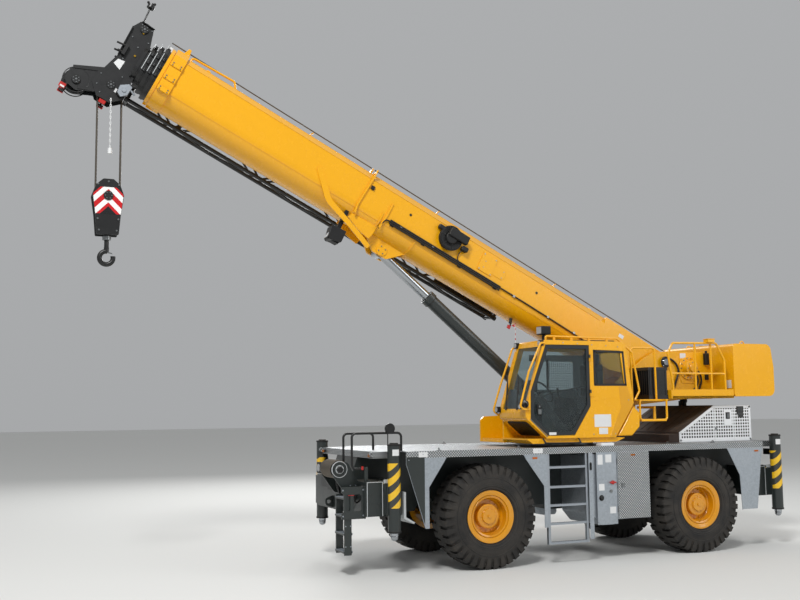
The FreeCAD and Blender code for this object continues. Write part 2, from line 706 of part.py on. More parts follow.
def outrigger(corner, x, side):
    """A sliding beam with its jack tube, and the jack rod inside."""
    inner = "10 - outrigger_box_half"
    y = (inner, "jack_y") if side > 0 else ("-jack_y", "-(%s)" % inner)
    z = ("beam_center_z - beam_height / 2", "beam_center_z + beam_height / 2")
    arm = box("arm_" + corner, ("(%s) - beam_width / 2" % x, "(%s) + beam_width / 2" % x), y, z)
    jack_y = "%d * jack_y" % side
    tube = rod("jack_tube_" + corner, "z", (x, jack_y, "jack_tube_bottom"),
               "jack_tube_top - jack_tube_bottom", "jack_tube_diameter")
    bore = rod("jack_bore_" + corner, "z", (x, jack_y, "jack_tube_bottom - 1"),
               "jack_tube_top - jack_tube_bottom - 30", "jack_rod_diameter + 2 * seat_gap")
    node("outrigger_beam_" + corner, cut("outrigger_beam_" + corner, fuse("beam_body_" + corner, arm, tube), bore))
    rod_bar = rod("jack_bar_" + corner, "z", (x, jack_y, "jack_rod_bottom"),
                  "jack_rod_length", "jack_rod_diameter")
    ball = doc.addObject("Part::Sphere", "jack_ball_" + corner)
    bind(ball, "Radius", "jack_ball_diameter / 2")
    place(ball, x, jack_y, "jack_rod_bottom - 20")
    node("jack_rod_" + corner, fuse("jack_rod_" + corner, rod_bar, ball))


OUTRIGGERS = [
    ("front_left", "front_beam_x", 1),
    ("front_right", "front_beam_x + beam_spacing", -1),
    ("rear_left", "rear_beam_x", 1),
    ("rear_right", "rear_beam_x + beam_spacing", -1),
]
for corner, x, side in OUTRIGGERS:
    outrigger(corner, x, side)

# skirts, arches, tanks and ladders of the carrier
SKIRT = ("deck_half_width - skirt_wall", "deck_half_width")
SKIRTS = [
    ("front_skirt", [(1230, "deck_top - deck_edge_depth"), (1230, 1540), (940, 640), (880, 640), (880, 1210),
                     (640, 1560), (600, "deck_top - deck_edge_depth")]),
    ("middle_skirt", [(-660, "deck_top - deck_edge_depth"), (-700, 1560), (-1000, 1160), (-1000, 550),
                      (-1060, 550), (-1060, "deck_top - deck_edge_depth")]),
    ("panel_skirt", [(-2300, "deck_top - deck_edge_depth"), (-2300, 610), (-2900, 610),
                     (-2900, "deck_top - deck_edge_depth")]),
    ("rear_skirt", [(-4450, "deck_top - deck_edge_depth"), (-4690, 1190), (-4720, 630), (-5150, 1460),
                    (-5190, "deck_top - deck_edge_depth")]),
]


def both_sides(name, piece):
    return piece, mirror(name + "_right", piece)


def skirts():
    parts = []
    for name, points in SKIRTS:
        plate = side_plate(name, points, SKIRT[0], SKIRT[1])
        parts.extend(both_sides(name, plate))
    return parts


LADDER = [-1090, -1760]
RUNGS = [1420, 1130, 860, 590, 310]


def ladder():
    parts = []
    for x in LADDER:
        parts.append(box("ladder_rail", (x - 20, x + 20), ("deck_half_width - 70", "deck_half_width - 20"),
                         (300, "deck_top - deck_plate")))
    for z in RUNGS:
        parts.append(box("ladder_rung", (LADDER[1] - 19, LADDER[0] + 19),
                         ("deck_half_width - 66", "deck_half_width - 24"), (z - 15, z + 15)))
    return fuse("ladder_left", *parts)


node("skirt_plates", group("skirt_plates", *skirts()))
node("ladders", group("ladders", *both_sides("ladder_left", ladder())))
tank = side_plate("side_tank_left", [(-1850, 1600, 40), (-1850, 700, 60), (-2000, 530, 60), (-2280, 530, 60),
                                     (-2280, 1600, 40)], "frame_half_width", "deck_half_width - skirt_wall - 20")
node("side_tanks", group("side_tanks", *both_sides("side_tank_left", tank)))

# engine and hood behind the slewing ring
HOOD = [(-3910, 1720), (-3910, 1880, 40), (-4630, 2312, 60), (-5420, 2312, 60), (-5420, 1720)]
hood_outer = side_plate("hood_outer", HOOD, -800, 800)
hood_inner = side_plate("hood_inner", [(-3950, 1700), (-3950, 1862), (-4640, 2280), (-5390, 2280), (-5390, 1700)],
                        -770, 770)
node("engine_hood", cut("engine_hood", hood_outer, hood_inner))
node("engine_block", box("engine_block", (-5250, -4420), (-380, 380), ("deck_top", 2050)))

# front end of the carrier: winch between two cheeks, access steps hung from a bracket, hoops and a mirror
BOX_FACE = FRONT_BOX[1]
WINCH = (2020, 1470)
WINCH_CHEEKS = (250, 740)
CHEEK_WALL = 16


def front_winch():
    inner, outer = WINCH_CHEEKS[0] + CHEEK_WALL, WINCH_CHEEKS[1]
    drum = rod("front_drum", "y", (WINCH[0], "%d + seat_gap" % inner, WINCH[1]), "%d - 2 * seat_gap" % (outer - inner),
               120)
    flanges = [rod("front_flange", "y", (WINCH[0], y, WINCH[1]), 18, 210) for y in (inner + 14, outer - 32)]
    return fuse("front_winch", drum, *flanges)


BRACKET = [
    (BOX_FACE, 795), (BOX_FACE, 1239), (2085, 1239, 20), (2085, 1165, 20), (2050, 1140), (2050, 900), (2085, 870, 20),
    (2085, 795, 20),
]
STEP_X = (1930, 2035)
STEP_SIDES = (620, 960)
STEP_HEIGHTS = (330, 575, 820, 1065)


def front_structure():
    parts = []
    for y in WINCH_CHEEKS:
        parts.append(side_plate("front_cheek", [(BOX_FACE, 1090), (BOX_FACE, 1290), (1900, 1570, 60), (2100, 1570, 60),
                                                (2120, 1380, 60), (1930, 1120, 80)], y, y + CHEEK_WALL))
    plate = side_plate("step_bracket_plate", BRACKET, 990, 1012)
    slots = [side_plate("step_bracket_slot", [(low, 905, 25), (low, 1135, 25), (high, 1135, 25), (high, 905, 25)],
                        980, 1022) for low, high in ((1790, 1905), (1955, 2015))]
    parts.append(cut("step_bracket", plate, *slots))
    parts.append(box("step_bracket_foot", (BOX_FACE, BOX_FACE + " + 14"), (950, 1050), (795, 1239)))
    for y, high in ((STEP_SIDES[0], 1120), (STEP_SIDES[1], 1200)):
        parts.append(box("step_stile", STEP_X, (y, y + 30), (300, high)))
    for z in STEP_HEIGHTS:
        parts.append(box("step_tread", (STEP_X[0] - 10, STEP_X[1] + 10), (STEP_SIDES[0] + 1, STEP_SIDES[1] + 29),
                         (z, z + 22)))
    parts.append(box("step_inner_arm", (BOX_FACE, STEP_X[0] + 1), (STEP_SIDES[0], STEP_SIDES[0] + 16), (1020, 1110)))
    for y, top in ((1000, 1510), (450, 1425)):
        parts.append(box("hoop_post", (BOX_FACE + " - 50", BOX_FACE), (y - 15, y + 15), (BOX_HIGH, top)))
    return fuse("front_frame", *parts)


node("front_frame", front_structure())
node("front_winch", front_winch())


FRONT_HOOPS = [
    # place across, front leg, its foot's height, top bar, rear leg
    (1000, 1925, 1485, 1978, 1170),
    (450, 1850, 1400, 1965, 1384),
]
MIRROR = (1390, 1030, 2040)


def front_rails():
    parts = []
    for y, front, low, top, rear in FRONT_HOOPS:
        parts.append(tube_path("front_hoop", [(BOX_FACE + " + seat_gap", y, low), (front, y, low), (front, y, top),
                                              (rear, y, top), (rear, y, "deck_top")], 34))
    x, y, z = MIRROR
    stalk = strut("mirror_stalk", (x, y, "deck_top"), (x, y, z), 16)
    dish = rod("mirror_dish", "y", (x - 30, y - 6, z), 26, 150)
    parts.append(fuse("mirror", stalk, dish))
    return group("front_rails", *parts)


node("front_rails", front_rails())

# superstructure
SIDE_PLATE = [
    ("turret_front_x", "turret_base_z + turret_base_wall"),
    ("turret_front_x", "turret_front_top - 60", 40),
    ("turret_front_x - 60", "turret_front_top"),
    (-2300, "turret_front_top + 60"),
    ("boom_foot_x + 420", "boom_foot_z + 60"),
    ("boom_foot_x + 200", "boom_foot_z + 170", 60),
    ("boom_foot_x - 40", "turret_tail_top", 60),
    ("turret_tail_x + 190", "turret_tail_top", 60),
    ("turret_tail_x", "turret_tail_top - 300"),
    ("turret_tail_x", "turret_tail_bottom + 20"),
    (-4550, 2460),
    (-4150, 2410),
    (-3360, 2340),
    (-2760, "turret_base_z + turret_base_wall"),
]


def turret():
    base = rod("turret_base", "z", ("slew_x", 0, "turret_base_z"), "turret_base_wall", "slew_ring_outer + 140")
    nose = box("turret_nose", ("slew_x", "turret_front_x"), ("-turret_plate_y - turret_plate_wall",
               "turret_plate_y + turret_plate_wall"), ("turret_base_z", "turret_base_z + turret_base_wall"))
    left = side_plate("turret_plate", SIDE_PLATE, "turret_plate_y", "turret_plate_y + turret_plate_wall")
    floor = box("turret_tail_floor", ("turret_tail_x", -3800), ("-turret_plate_y - 1", "turret_plate_y + 1"),
                (2435, 2465))
    floor_front = box("turret_front_wall", ("turret_front_x - 40", "turret_front_x - 10"),
                      ("-turret_plate_y - 1", "turret_plate_y + 1"), ("turret_base_z", "turret_base_z + 60"))
    back = box("turret_back_wall", (-4400, -4370), ("-turret_plate_y - 1", "turret_plate_y + 1"), (2450, 2700))
    arms = side_plate("cab_arm", [(-900, "turret_base_z"), (-820, "turret_base_z + 55"), (-820, "cab_bottom"),
                                  (-2340, "cab_bottom"), (-2560, "turret_base_z + 60"), (-2400, "turret_base_z")],
                      "turret_plate_y + 10", "cab_outer_y - 40")
    feet = [box("lift_foot_cheek", ("lift_foot_x - 130", "lift_foot_x + 130"), y,
                ("turret_base_z", "lift_foot_z + 130"))
            for y in (("lift_eye_width / 2 + 3", "lift_eye_width / 2 + 43"),
                      ("-lift_eye_width / 2 - 43", "-lift_eye_width / 2 - 3"))]
    bore = rod("lift_foot_bore", "y", ("lift_foot_x", -300, "lift_foot_z"), 600, "100 + 2 * seat_gap")
    pin_hole = rod("boom_foot_bore", "y", ("boom_foot_x", -500, "boom_foot_z"), 1000,
                   "boom_foot_pin_diameter + 2 * seat_gap")
    body = fuse("turret_body", base, nose, left, mirror("turret_plate_right", left), floor, floor_front, back,
                arms, *feet)
    return cut("turret_frame", body, bore, pin_hole)


node("turret_frame", turret())
WEIGHT = [
    ("turret_tail_x", "counterweight_bottom", 40), ("turret_tail_x", "counterweight_top", 60),
    ("counterweight_rear_x + 60", "counterweight_top", 120), ("counterweight_rear_x", "counterweight_top - 400"),
    ("counterweight_rear_x", "counterweight_bottom", 120),
]
node("counterweight", side_plate("counterweight", WEIGHT, "-counterweight_half_width", "counterweight_half_width"))


def winches():
    parts = []
    for x, z in (("winch_x", "winch_z"),):
        parts.append(rod("hoist_drum", "y", (x, -250, z), 500, "winch_drum_diameter"))
        for y in (-250, 220):
            parts.append(rod("hoist_flange", "y", (x, y, z), 30, "winch_flange_diameter"))
        parts.append(rod("hoist_case", "y", (x, "-turret_plate_y + seat_gap", z), "2 * turret_plate_y - 2 * seat_gap",
                         260))
    return fuse("hoist_winch", *parts)


node("hoist_winch", winches())
PLATE_OUT = "turret_plate_y + turret_plate_wall"
walk = side_plate("walkway_left", [(-3670, 2440), (-3670, 2580), (-3700, 2580), (-3700, 2480), (-4960, 2480),
                                   (-4960, 2440)], PLATE_OUT, 950)
WALK_RAIL = [(-3726, 930, 2480), (-3726, 930, 2660), (-3640, 930, 3180), (-3740, 930, 3350), (-4640, 930, 3360),
             (-4800, 930, 3080), (-4810, 930, 2480.7)]
WALK_POSTS = [(-4190, 3355), (-4520, 3358)]


def walkway_rail():
    """The walkway's hand rail with its middle rail and inner posts."""
    parts = [tube_path("walkway_rail", WALK_RAIL, 38)]
    parts.append(strut("middle_rail", (-3694, 930, 2850), (-4805, 930, 2850), 32))
    for x, top in WALK_POSTS:
        parts.append(strut("rail_post", (x, 930, 2480), (x, 930, top), 34))
    return fuse("walkway_rail_left", *parts)


STEP_FRAME = [(-2940, 2420), (-2940, 2100), (-3460, 2100), (-3460, 2420)]


def step_frame():
    """Steps hung outside the left side plate, up to the walkway."""
    tube = tube_path("step_tube", [(x, 1080, z) for x, z in STEP_FRAME], 34, 50)
    tread = box("step_tread", (-3440, -2960), (830, 1097), (2080, 2105))
    arms = [box("step_arm", (x - 20, x + 20), (PLATE_OUT, 850), (2280, 2320)) for x in (-3000, -3400)]
    drops = [box("step_drop", (x - 20, x + 20), (830, 850), (2085, 2320)) for x in (-3000, -3400)]
    shelf = box("step_shelf", (-3460, -2940), (PLATE_OUT, 1000), (2405, 2430))
    props = [box("step_prop", (x - 17, x + 17), (985, 1097), (2405, 2430)) for x in (-2940, -3460)]
    return fuse("step_frame", tube, tread, shelf, *arms + drops + props)


small_rail = tube_path("small_rail", [(-2910, 930, 2430.6), (-2900, 930, 3260), (-3370, 930, 3260),
                                      (-3380, 930, 2430.6)], 34)
node("walkways", group("walkways", fuse("walkway_steps", walk, step_frame()), mirror("walkway_right", walk)))
rail = walkway_rail()
node("handrails", group("handrails", rail, mirror("walkway_rail_right", rail), small_rail))
cooler = fuse("oil_cooler", box("cooler_core", (-3600, -3300), (PLATE_OUT, 880), (2480, 2930)),
              box("cooler_top", (-3640, -3260), (PLATE_OUT, 900), (2900, 2950)),
              box("cooler_foot", (-3640, -3260), (PLATE_OUT, 900), ("2430 + seat_gap", 2500)),
              *[box("cooler_rib", (-3632, -3268), (y, y + 14), (2490, 2910)) for y in range(430, 880, 56)])
node("oil_cooler", cooler)

# operator's cab
CAB_SIDE = [
    ("cab_chin_x", "cab_bottom"),
    ("cab_nose_x - 20", "cab_bottom + 300", 60),
    ("cab_nose_x", "cab_belt_z", 60),
    ("cab_roof_front_x", "cab_top", 50),
    ("cab_roof_rear_x", "cab_top - 10", 70),
    ("cab_rear_x", "cab_rear_belt_z"),
    ("cab_rear_foot_x", "cab_bottom"),
]


def inset(points, amount):
    """The same closed outline moved inwards by an expression's amount, as plain values."""
    values = [(number(point[0]), number(point[1])) for point in points]
    area = sum(a[0] * b[1] - b[0] * a[1] for a, b in zip(values, values[1:] + values[:1]))
    sign = 1 if area > 0 else -1
    gap = number(amount) * sign
    moved = []
    for index, (x, z) in enumerate(values):
        x0, z0 = values[index - 1]
        x1, z1 = values[(index + 1) % len(values)]
        lines = []
        for (ax, az), (bx, bz) in (((x0, z0), (x, z)), ((x, z), (x1, z1))):
            length = math.hypot(bx - ax, bz - az)
            nx, nz = -(bz - az) / length, (bx - ax) / length
            lines.append((nx, nz, nx * (ax + gap * nx) + nz * (az + gap * nz)))
        (a, b, c), (d, e, f) = lines
        det = a * e - b * d
        moved.append(((c * e - b * f) / det, (a * f - c * d) / det))
    return moved


DOOR = [(-860, 2560), (-850, 2150), (-1140, 1890), (-1620, 1890), ("door_rear_x", 2330), ("door_rear_x", 3270),
        (-1140, 3270)]


def window_holes(margin, depth):
    """The window openings of the cab, smaller all round by a margin."""
    m = margin
    return [
        side_plate("far_window", inset(CAB_SIDE, 130 + m), "cab_inner_y - 5", "cab_inner_y + cab_wall + 5"),
        side_plate("rear_side_window", inset([(-1990, 3200), (-1990, 2420), (-2580, 2500), (-2490, 3190)],
                                             m), "cab_outer_y - cab_wall - 5", "cab_outer_y + 5"),
        box("windscreen_hole", (-1140, -640), ("cab_inner_y + 90 + %s" % m, "cab_outer_y - 70 - %s" % m),
            (2300 + m, 3240 - m)),
        box("rear_window_hole", (-2800, -2480), ("cab_inner_y + 110 + %s" % m, "cab_outer_y - 110 - %s" % m),
            (2500 + m, 3180 - m)),
        box("roof_window_hole", (-1900 + m, -1250 - m), ("cab_inner_y + 130 + %s" % m,
            "cab_outer_y - 130 - %s" % m), (3270, 3400)),
    ]


def cab():
    outer = side_plate("cab_outer", CAB_SIDE, "cab_inner_y", "cab_outer_y")
    inner = side_plate("cab_inner", inset(CAB_SIDE, "cab_wall"), "cab_inner_y + cab_wall",
                       "cab_outer_y - cab_wall")
    doorway = side_plate("doorway", DOOR, "cab_outer_y - cab_wall - 5", "cab_outer_y + 5")
    return cut("cab_body", outer, inner, doorway, *window_holes(0, 0))


def cab_glass():
    """Panes six millimetres thick, set back from the cab's outer faces."""
    outer = side_plate("pane_outer", inset(CAB_SIDE, 14), "cab_inner_y + 14", "cab_outer_y - 14")
    inner = side_plate("pane_inner", inset(CAB_SIDE, 20), "cab_inner_y + 20", "cab_outer_y - 20")
    return common("cab_glass", cut("pane_shell", outer, inner), fuse("pane_limits", *window_holes(0.3, 0)))


GUARDS = [
    # the near loop in front of the windscreen, the loop at the boom side, the roof rail
    [(-1100, "cab_outer_y + 24", 3290), (-1040, "cab_outer_y + 24", 3290), (-820, "cab_outer_y + 24", 2850),
     (-660, "cab_outer_y + 24", 2330), (-730, "cab_outer_y + 24", 2290), (-820, "cab_outer_y + 24", 2290)],
    [(-1180, "cab_inner_y - 22", 3260), (-1040, "cab_inner_y - 22", 3260), (-820, "cab_inner_y - 22", 2700),
     (-670, "cab_inner_y - 22", 2270), (-760, "cab_inner_y - 22", 2210), (-860, "cab_inner_y - 22", 2210)],
]
ROOF_RAIL = [(-1180, "cab_outer_y - 60", "cab_top"), (-1180, "cab_outer_y - 60", 3400),
             (-2480, "cab_outer_y - 60", 3385), (-2760, "cab_outer_y - 60", 3170),
             (-2880, "cab_outer_y - 60", 2560), (-2790, "cab_outer_y - 60", 2420)]


def cab_guards():
    parts = []
    for path, wall in zip(GUARDS, (("cab_outer_y", "cab_outer_y + 24"), ("cab_inner_y - 22", "cab_inner_y"))):
        tube = tube_path("guard_loop", path, "guard_diameter")
        feet = [box("guard_foot", (x - 16, x + 16), wall, (z - 16, z + 16))
                for x, z in ((path[0][0], path[0][2]), (path[-1][0], path[-1][2]))]
        parts.append(fuse("guard", tube, *feet))
    rail = tube_path("roof_rail", ROOF_RAIL, "guard_diameter")
    ahead = box("roof_rail_limit", (-3000, -1000), (1000, 1300), ("cab_top", 3500))
    behind = side_plate("roof_rail_rear", [(-2500, 3335), (-2590, 3330), (-2722, 2370), (-3000, 2370), (-3000, 3500),
                                           (-2500, 3500)], 1000, 1300)
    parts.append(common("roof_rail_trim", rail, fuse("roof_rail_zone", ahead, behind)))
    return group("cab_guards", *parts)


HINGE_X, HINGE_Y = "door_rear_x + door_gap / 2", "cab_outer_y + 14"
HINGE_HEIGHTS = [2480, 3020]


def hinge_halves():
    """Two lift-off hinges: the lower knuckle and pin stay on the cab, the upper knuckle is the door's."""
    fixed, moving = [], []
    for z in HINGE_HEIGHTS:
        fixed.append(rod("hinge_low", "z", (HINGE_X, HINGE_Y, z), 50, 28))
        fixed.append(rod("hinge_pin", "z", (HINGE_X, HINGE_Y, z), 100, 12))
        fixed.append(box("hinge_leaf", ("door_rear_x - 60", HINGE_X), ("cab_outer_y - 5", "cab_outer_y + 8"),
                         (z, z + 50)))
        moving.append(cut("hinge_upper", rod("hinge_high", "z", (HINGE_X, HINGE_Y, "%s + seat_gap" % (z + 50)),
                                             50, 28),
                          rod("hinge_bore", "z", (HINGE_X, HINGE_Y, z), 120, "12 + 2 * seat_gap")))
        moving.append(box("hinge_strap", ("door_rear_x + 18", "door_rear_x + 70"),
                          ("cab_outer_y - 5", "cab_outer_y + 8"), ("%s + seat_gap" % (z + 50), z + 100)))
    return fixed, moving


fixed_hinges, door_hinges = hinge_halves()
node("cab_shell", fuse("cab_shell", cab(), *fixed_hinges))
door_outer = side_plate("door_outer", inset(DOOR, "door_gap"), "cab_outer_y - cab_wall", "cab_outer_y")
door_hole = side_plate("door_hole", inset(DOOR, "door_gap + 55"), "cab_outer_y - cab_wall - 5", "cab_outer_y + 5")
node("door_frame", fuse("door_frame", cut("door_leaf", door_outer, door_hole), *door_hinges))
node("door_glass", side_plate("door_glass", inset(DOOR, "door_gap + 55"), "cab_outer_y - 24", "cab_outer_y - 18"))
seat = fuse("seat", box("seat_base", (-2150, -1700), (620, 1020), ("cab_bottom + cab_wall", 2180)),
            box("seat_cushion", (-2180, -1640), (590, 1050), (2180, 2300)),
            box("seat_back", (-2280, -2150), (600, 1040), (2250, 2980)))
console = common("console", side_plate("console_plate", [(-1000, "cab_bottom"), (-940, 2150), (-1010, 2420, 30),
                                                         (-1140, 2440, 30), (-1190, "cab_bottom")], 620, 1020),
                 side_plate("cab_room", inset(CAB_SIDE, "cab_wall + seat_gap"), 610, 1030))
column = strut("steering_column", (-1120, 820, 2400), (-1330, 820, 2560), 50)
levers = [side_plate("arm_rest", [(-2080, 2285), (-2080, 2450, 20), (-1720, 2480, 20), (-1720, 2285)], y, y + 90)
          for y in (500, 1060)]
sticks = [strut("joystick", (-1780, y + 45, 2440), (-1750, y + 45, 2620), 34) for y in (500, 1060)]
wheel_ring = doc.addObject("Part::Torus", "steering_wheel")
bind(wheel_ring, "Radius1", 190)
bind(wheel_ring, "Radius2", 14)
wheel_ring.Placement.Rotation = FreeCAD.Rotation(FreeCAD.Vector(0, 1, 0), -53)
place(wheel_ring, -1326, 820, 2558)
spoke = strut("steering_spoke", (-1326, 640, 2558), (-1326, 1000, 2558), 26)
arm_feet = [box("arm_foot", (-2060, -1760), y, (2200, 2320)) for y in ((500, 622), (1018, 1150))]
node("cab_interior", group("cab_interior", fuse("seat_group", seat, *levers, *sticks, *arm_feet),
                           fuse("dashboard", console, column, wheel_ring, spoke)))
node("cab_glass", cab_glass())
node("cab_guards", cab_guards())

# boom and its telescoping sections, drawn along X at the foot pin
def boom_profile(level, grow=0):
    """A section's outline: flat top with bevels and a rounded lower half. Level 0 is the base section."""
    half = "boom_half_width - %d * section_step * 0.84 + %s" % (level, grow)
    top = "boom_top - %d * section_step * 0.9 + %s" % (level, grow)
    low = "boom_bottom + %d * section_step * 1.12 - %s" % (level, grow)
    return [
        ("-(%s)" % half, "%s - boom_chamfer" % top),
        ("-(%s) + boom_chamfer" % half, top),
        ("%s - boom_chamfer" % half, top),
        (half, "%s - boom_chamfer" % top),
        (half, low, "0.92 * (%s)" % half),
        ("-(%s)" % half, low, "0.92 * (%s)" % half),
    ]


SECTION_NAMES = ["boom_base", "boom_section_2", "boom_section_3", "boom_section_4", "boom_tip"]


def boom_pads(name, level, mouth):
    """Wear pads in a section's mouth that carry the next section."""
    parts = []
    reach = ("(%s) - section_mouth" % mouth, "(%s) - 5" % mouth)
    shell_low = "boom_bottom + %d * section_step * 1.12 + boom_wall" % level
    next_low = "boom_bottom + %d * section_step * 1.12" % (level + 1)
    shell_top = "boom_top - %d * section_step * 0.9 - boom_wall" % level
    next_top = "boom_top - %d * section_step * 0.9" % (level + 1)
    parts.append(box(name + "_pad", reach, (-90, 90), (shell_low + " - 2", next_low + " - section_fit")))
    parts.append(box(name + "_pad", reach, (-90, 90), (next_top + " + section_fit", shell_top + " + 2")))
    return parts


def boom_section(level):
    name = SECTION_NAMES[level]
    start = "section_rear + %d * 60" % (level - 1) if level else "boom_tube_start"
    stop = "boom_length + %d * section_collar" % level
    outer = bar(name + "_outer", boom_profile(level), start, stop)
    flange = bar(name + "_flange", boom_profile(level, "section_rim"), "(%s) - section_rim_width" % stop, stop)
    inner = bar(name + "_inner", boom_profile(level, "-boom_wall"), "(%s) + 20" % start, "(%s) + 1" % stop)
    parts = [cut(name + "_hollow", fuse(name + "_solid", outer, flange), inner)]
    if level < 4:
        parts.extend(boom_pads(name, level, stop))
    return parts

# the curved arm at the near side that carries the folded jib's stowage
STOW_ARM = [
    (6810, -250, 30), (6450, -640, 260), (6010, -780, 400), (5560, -950, 30),
    (5530, -880, 30), (5990, -700, 400), (6390, -560, 220), (6740, -200, 30),
]


def boom_base():
    collar = bar("boom_collar", boom_profile(0, 28), "boom_length - 250", "boom_length - 60")
    collar_hole = bar("boom_collar_hole", boom_profile(0, -1), "boom_length - 251", "boom_length - 59")
    foot = side_plate("boom_foot", [(-200, 150, 120), (300, 165), (1300, 175), (1300, -620), (900, -600),
                                    (300, -430, 80), (-200, -150, 140)], 250, "boom_half_width - 2")
    ribs = [common("boom_rib", bar("boom_rib_plate", boom_profile(0, 14), x, x + 22),
                   box("boom_rib_zone", (x - 1, x + 23), (-400, 400), (-700, -300)))
            for x in (4900, 5560, 5980)]
    lugs = side_plate("lift_lug", [("lift_eye_along - 420", "boom_bottom + 60"),
                                   ("lift_eye_along - 130", "lift_eye_height - 90", 60),
                                   ("lift_eye_along + 130", "lift_eye_height - 90", 60),
                                   ("lift_eye_along + 420", "boom_bottom + 60")],
                      "lift_eye_width / 2 + section_fit", "lift_eye_width / 2 + 42",
                      [("lift_eye_along", "lift_eye_height", "100 + 2 * seat_gap")])
    core = bar("boom_core", boom_profile(0, "-boom_wall"), "boom_tube_start + 20", "boom_length + 1")
    feet = fuse("boom_feet", *ribs, foot, mirror("boom_foot_right", foot), lugs, mirror("lift_lug_right", lugs))
    pin = rod("boom_pin_bore", "y", (0, -500, 0), 1000, "boom_foot_pin_diameter + 2 * seat_gap")
    rail = tube_path("top_rail", [(9130, 0, "boom_top - 3"), (9130, 0, 320), (8430, 0, 350),
                                  (8330, 0, "boom_top - 3")], 34, 50)
    arm = side_plate("stow_arm", STOW_ARM, "boom_half_width - 2", "boom_half_width + 14")
    # the collar's underside slopes up to the mouth, so that the falls pass under a steep boom
    relief = side_plate("rope_relief", [("boom_length - 220", "boom_bottom - 34.5"),
                                        ("boom_length + 2", "boom_bottom + 12"),
                                        ("boom_length + 2", "boom_bottom - 90"),
                                        ("boom_length - 220", "boom_bottom - 90")], -60, 60)
    body = fuse("boom_base_body", cut("boom_collar_ring", collar, collar_hole), cut("boom_feet_cut", feet, core, pin),
                rail, arm, *boom_section(0))
    return cut("boom_base", body, relief)


HEAD_PLATE = [
    (9700, 40), (9790, 330, 30), (9990, 340, 40), (10060, 200, 40), (10040, -300, 60), (10120, -620, 60),
    (10480, -790, 90), (10480, -1020, 90), (10280, -1060, 60), (9990, -900, 40), (9790, -900, 40), (9690, -780, 30),
    (9690, -500),
]


def boom_tip():
    plate = side_plate("head_plate", HEAD_PLATE, 100, 114)
    pins = [rod("head_pin", "y", (x, -120, z), 240, 70)
            for x, z in (("head_sheave_along", "head_sheave_height"), ("nose_sheave_along", "nose_sheave_height"),
                         ("idler_along", "idler_height"))]
    cover = box("head_cover", (9690, 9710), (-114, 114), (-500, 60))
    corners = [("head_sheave_along + %d" % round(262 * math.cos(math.radians(22.5 + 45 * index))),
                "head_sheave_height + %d" % round(262 * math.sin(math.radians(22.5 + 45 * index))))
               for index in range(8)]
    guard = side_plate("sheave_guard", corners, 114, 126)
    web = side_plate("head_web", [(9770, -430), (9770, 8), (9990, 126), (9990, -380)], -100, 100)
    vane = fuse("wind_meter", strut("wind_mast", (9960, 60, 320), (9985, 60, 620), 24),
                box("wind_mast_foot", (9930, 9990), (40, 110), (290, 330)),
                rod("wind_cups", "z", (9985, 60, 600), 50, 110))
    socket = side_plate("rope_anchor", [(9650, -600), (9650, -760, 30), (9730, -840, 30), (9800, -800), (9800, -560)],
                        112, 168)
    anchor_pin = rod("anchor_pin", "y", (9720, 104, -720), 76, 44)
    tabs = [box("stop_tab", (x - 40, x + 40), y, (z - 26, z))
            for x, z in ((9900, -1000), (10450, -1090)) for y in ((64, 130), (-130, -64))]
    stays = [box("stop_stay", (x - 14, x + 14), (y, y + 12), (z - 2, z + 120))
             for x, z in ((9900, -1000), (10420, -1090)) for y in (100, -112)]
    return fuse("boom_tip", plate, mirror("head_plate_right", plate), guard, mirror("sheave_guard_right", guard),
                cover, web, vane, socket, anchor_pin, *tabs + stays + pins + boom_section(4))


def sheave(name, diameter, bore):
    """A grooved rope sheave about the Y axis, with a bore for its pin."""
    half, groove = "sheave_width / 2", "(%s) / 2 - rope_diameter" % diameter
    return turned(name, [
        ("(%s) / 2" % bore, "-(%s)" % half), ("(%s) / 2" % diameter, "-(%s)" % half),
        ("(%s) / 2" % diameter, "-rope_diameter"), (groove, "-rope_diameter / 2 - 1"),
        (groove, "rope_diameter / 2 + 1"), ("(%s) / 2" % diameter, "rope_diameter"),
        ("(%s) / 2" % diameter, half), ("(%s) / 2" % bore, half),
    ])


SHEAVES = [
    # along the boom, height, diameter, places across
    ("head_sheave_along", "head_sheave_height", "head_sheave_diameter", ("-sheave_spacing / 2", "sheave_spacing / 2")),
    ("nose_sheave_along", "nose_sheave_height", "head_sheave_diameter", (0,)),
    ("idler_along", "idler_height", "head_sheave_diameter * 0.8", (0,)),
]


def head_sheaves():
    parts = []
    for x, z, diameter, spots in SHEAVES:
        for y in spots:
            parts.append(place(sheave("head_sheave", diameter, "70 + 2 * seat_gap"), x, y, z))
    return group("head_sheaves", *parts)


node("boom_base", on_boom(boom_base()))
for level in (1, 2, 3):
    node(SECTION_NAMES[level], on_boom(fuse(SECTION_NAMES[level], *boom_section(level))))
node("boom_tip", on_boom(boom_tip()))
node("head_sheaves", on_boom(head_sheaves()))

SIDE = "boom_half_width + seat_gap"


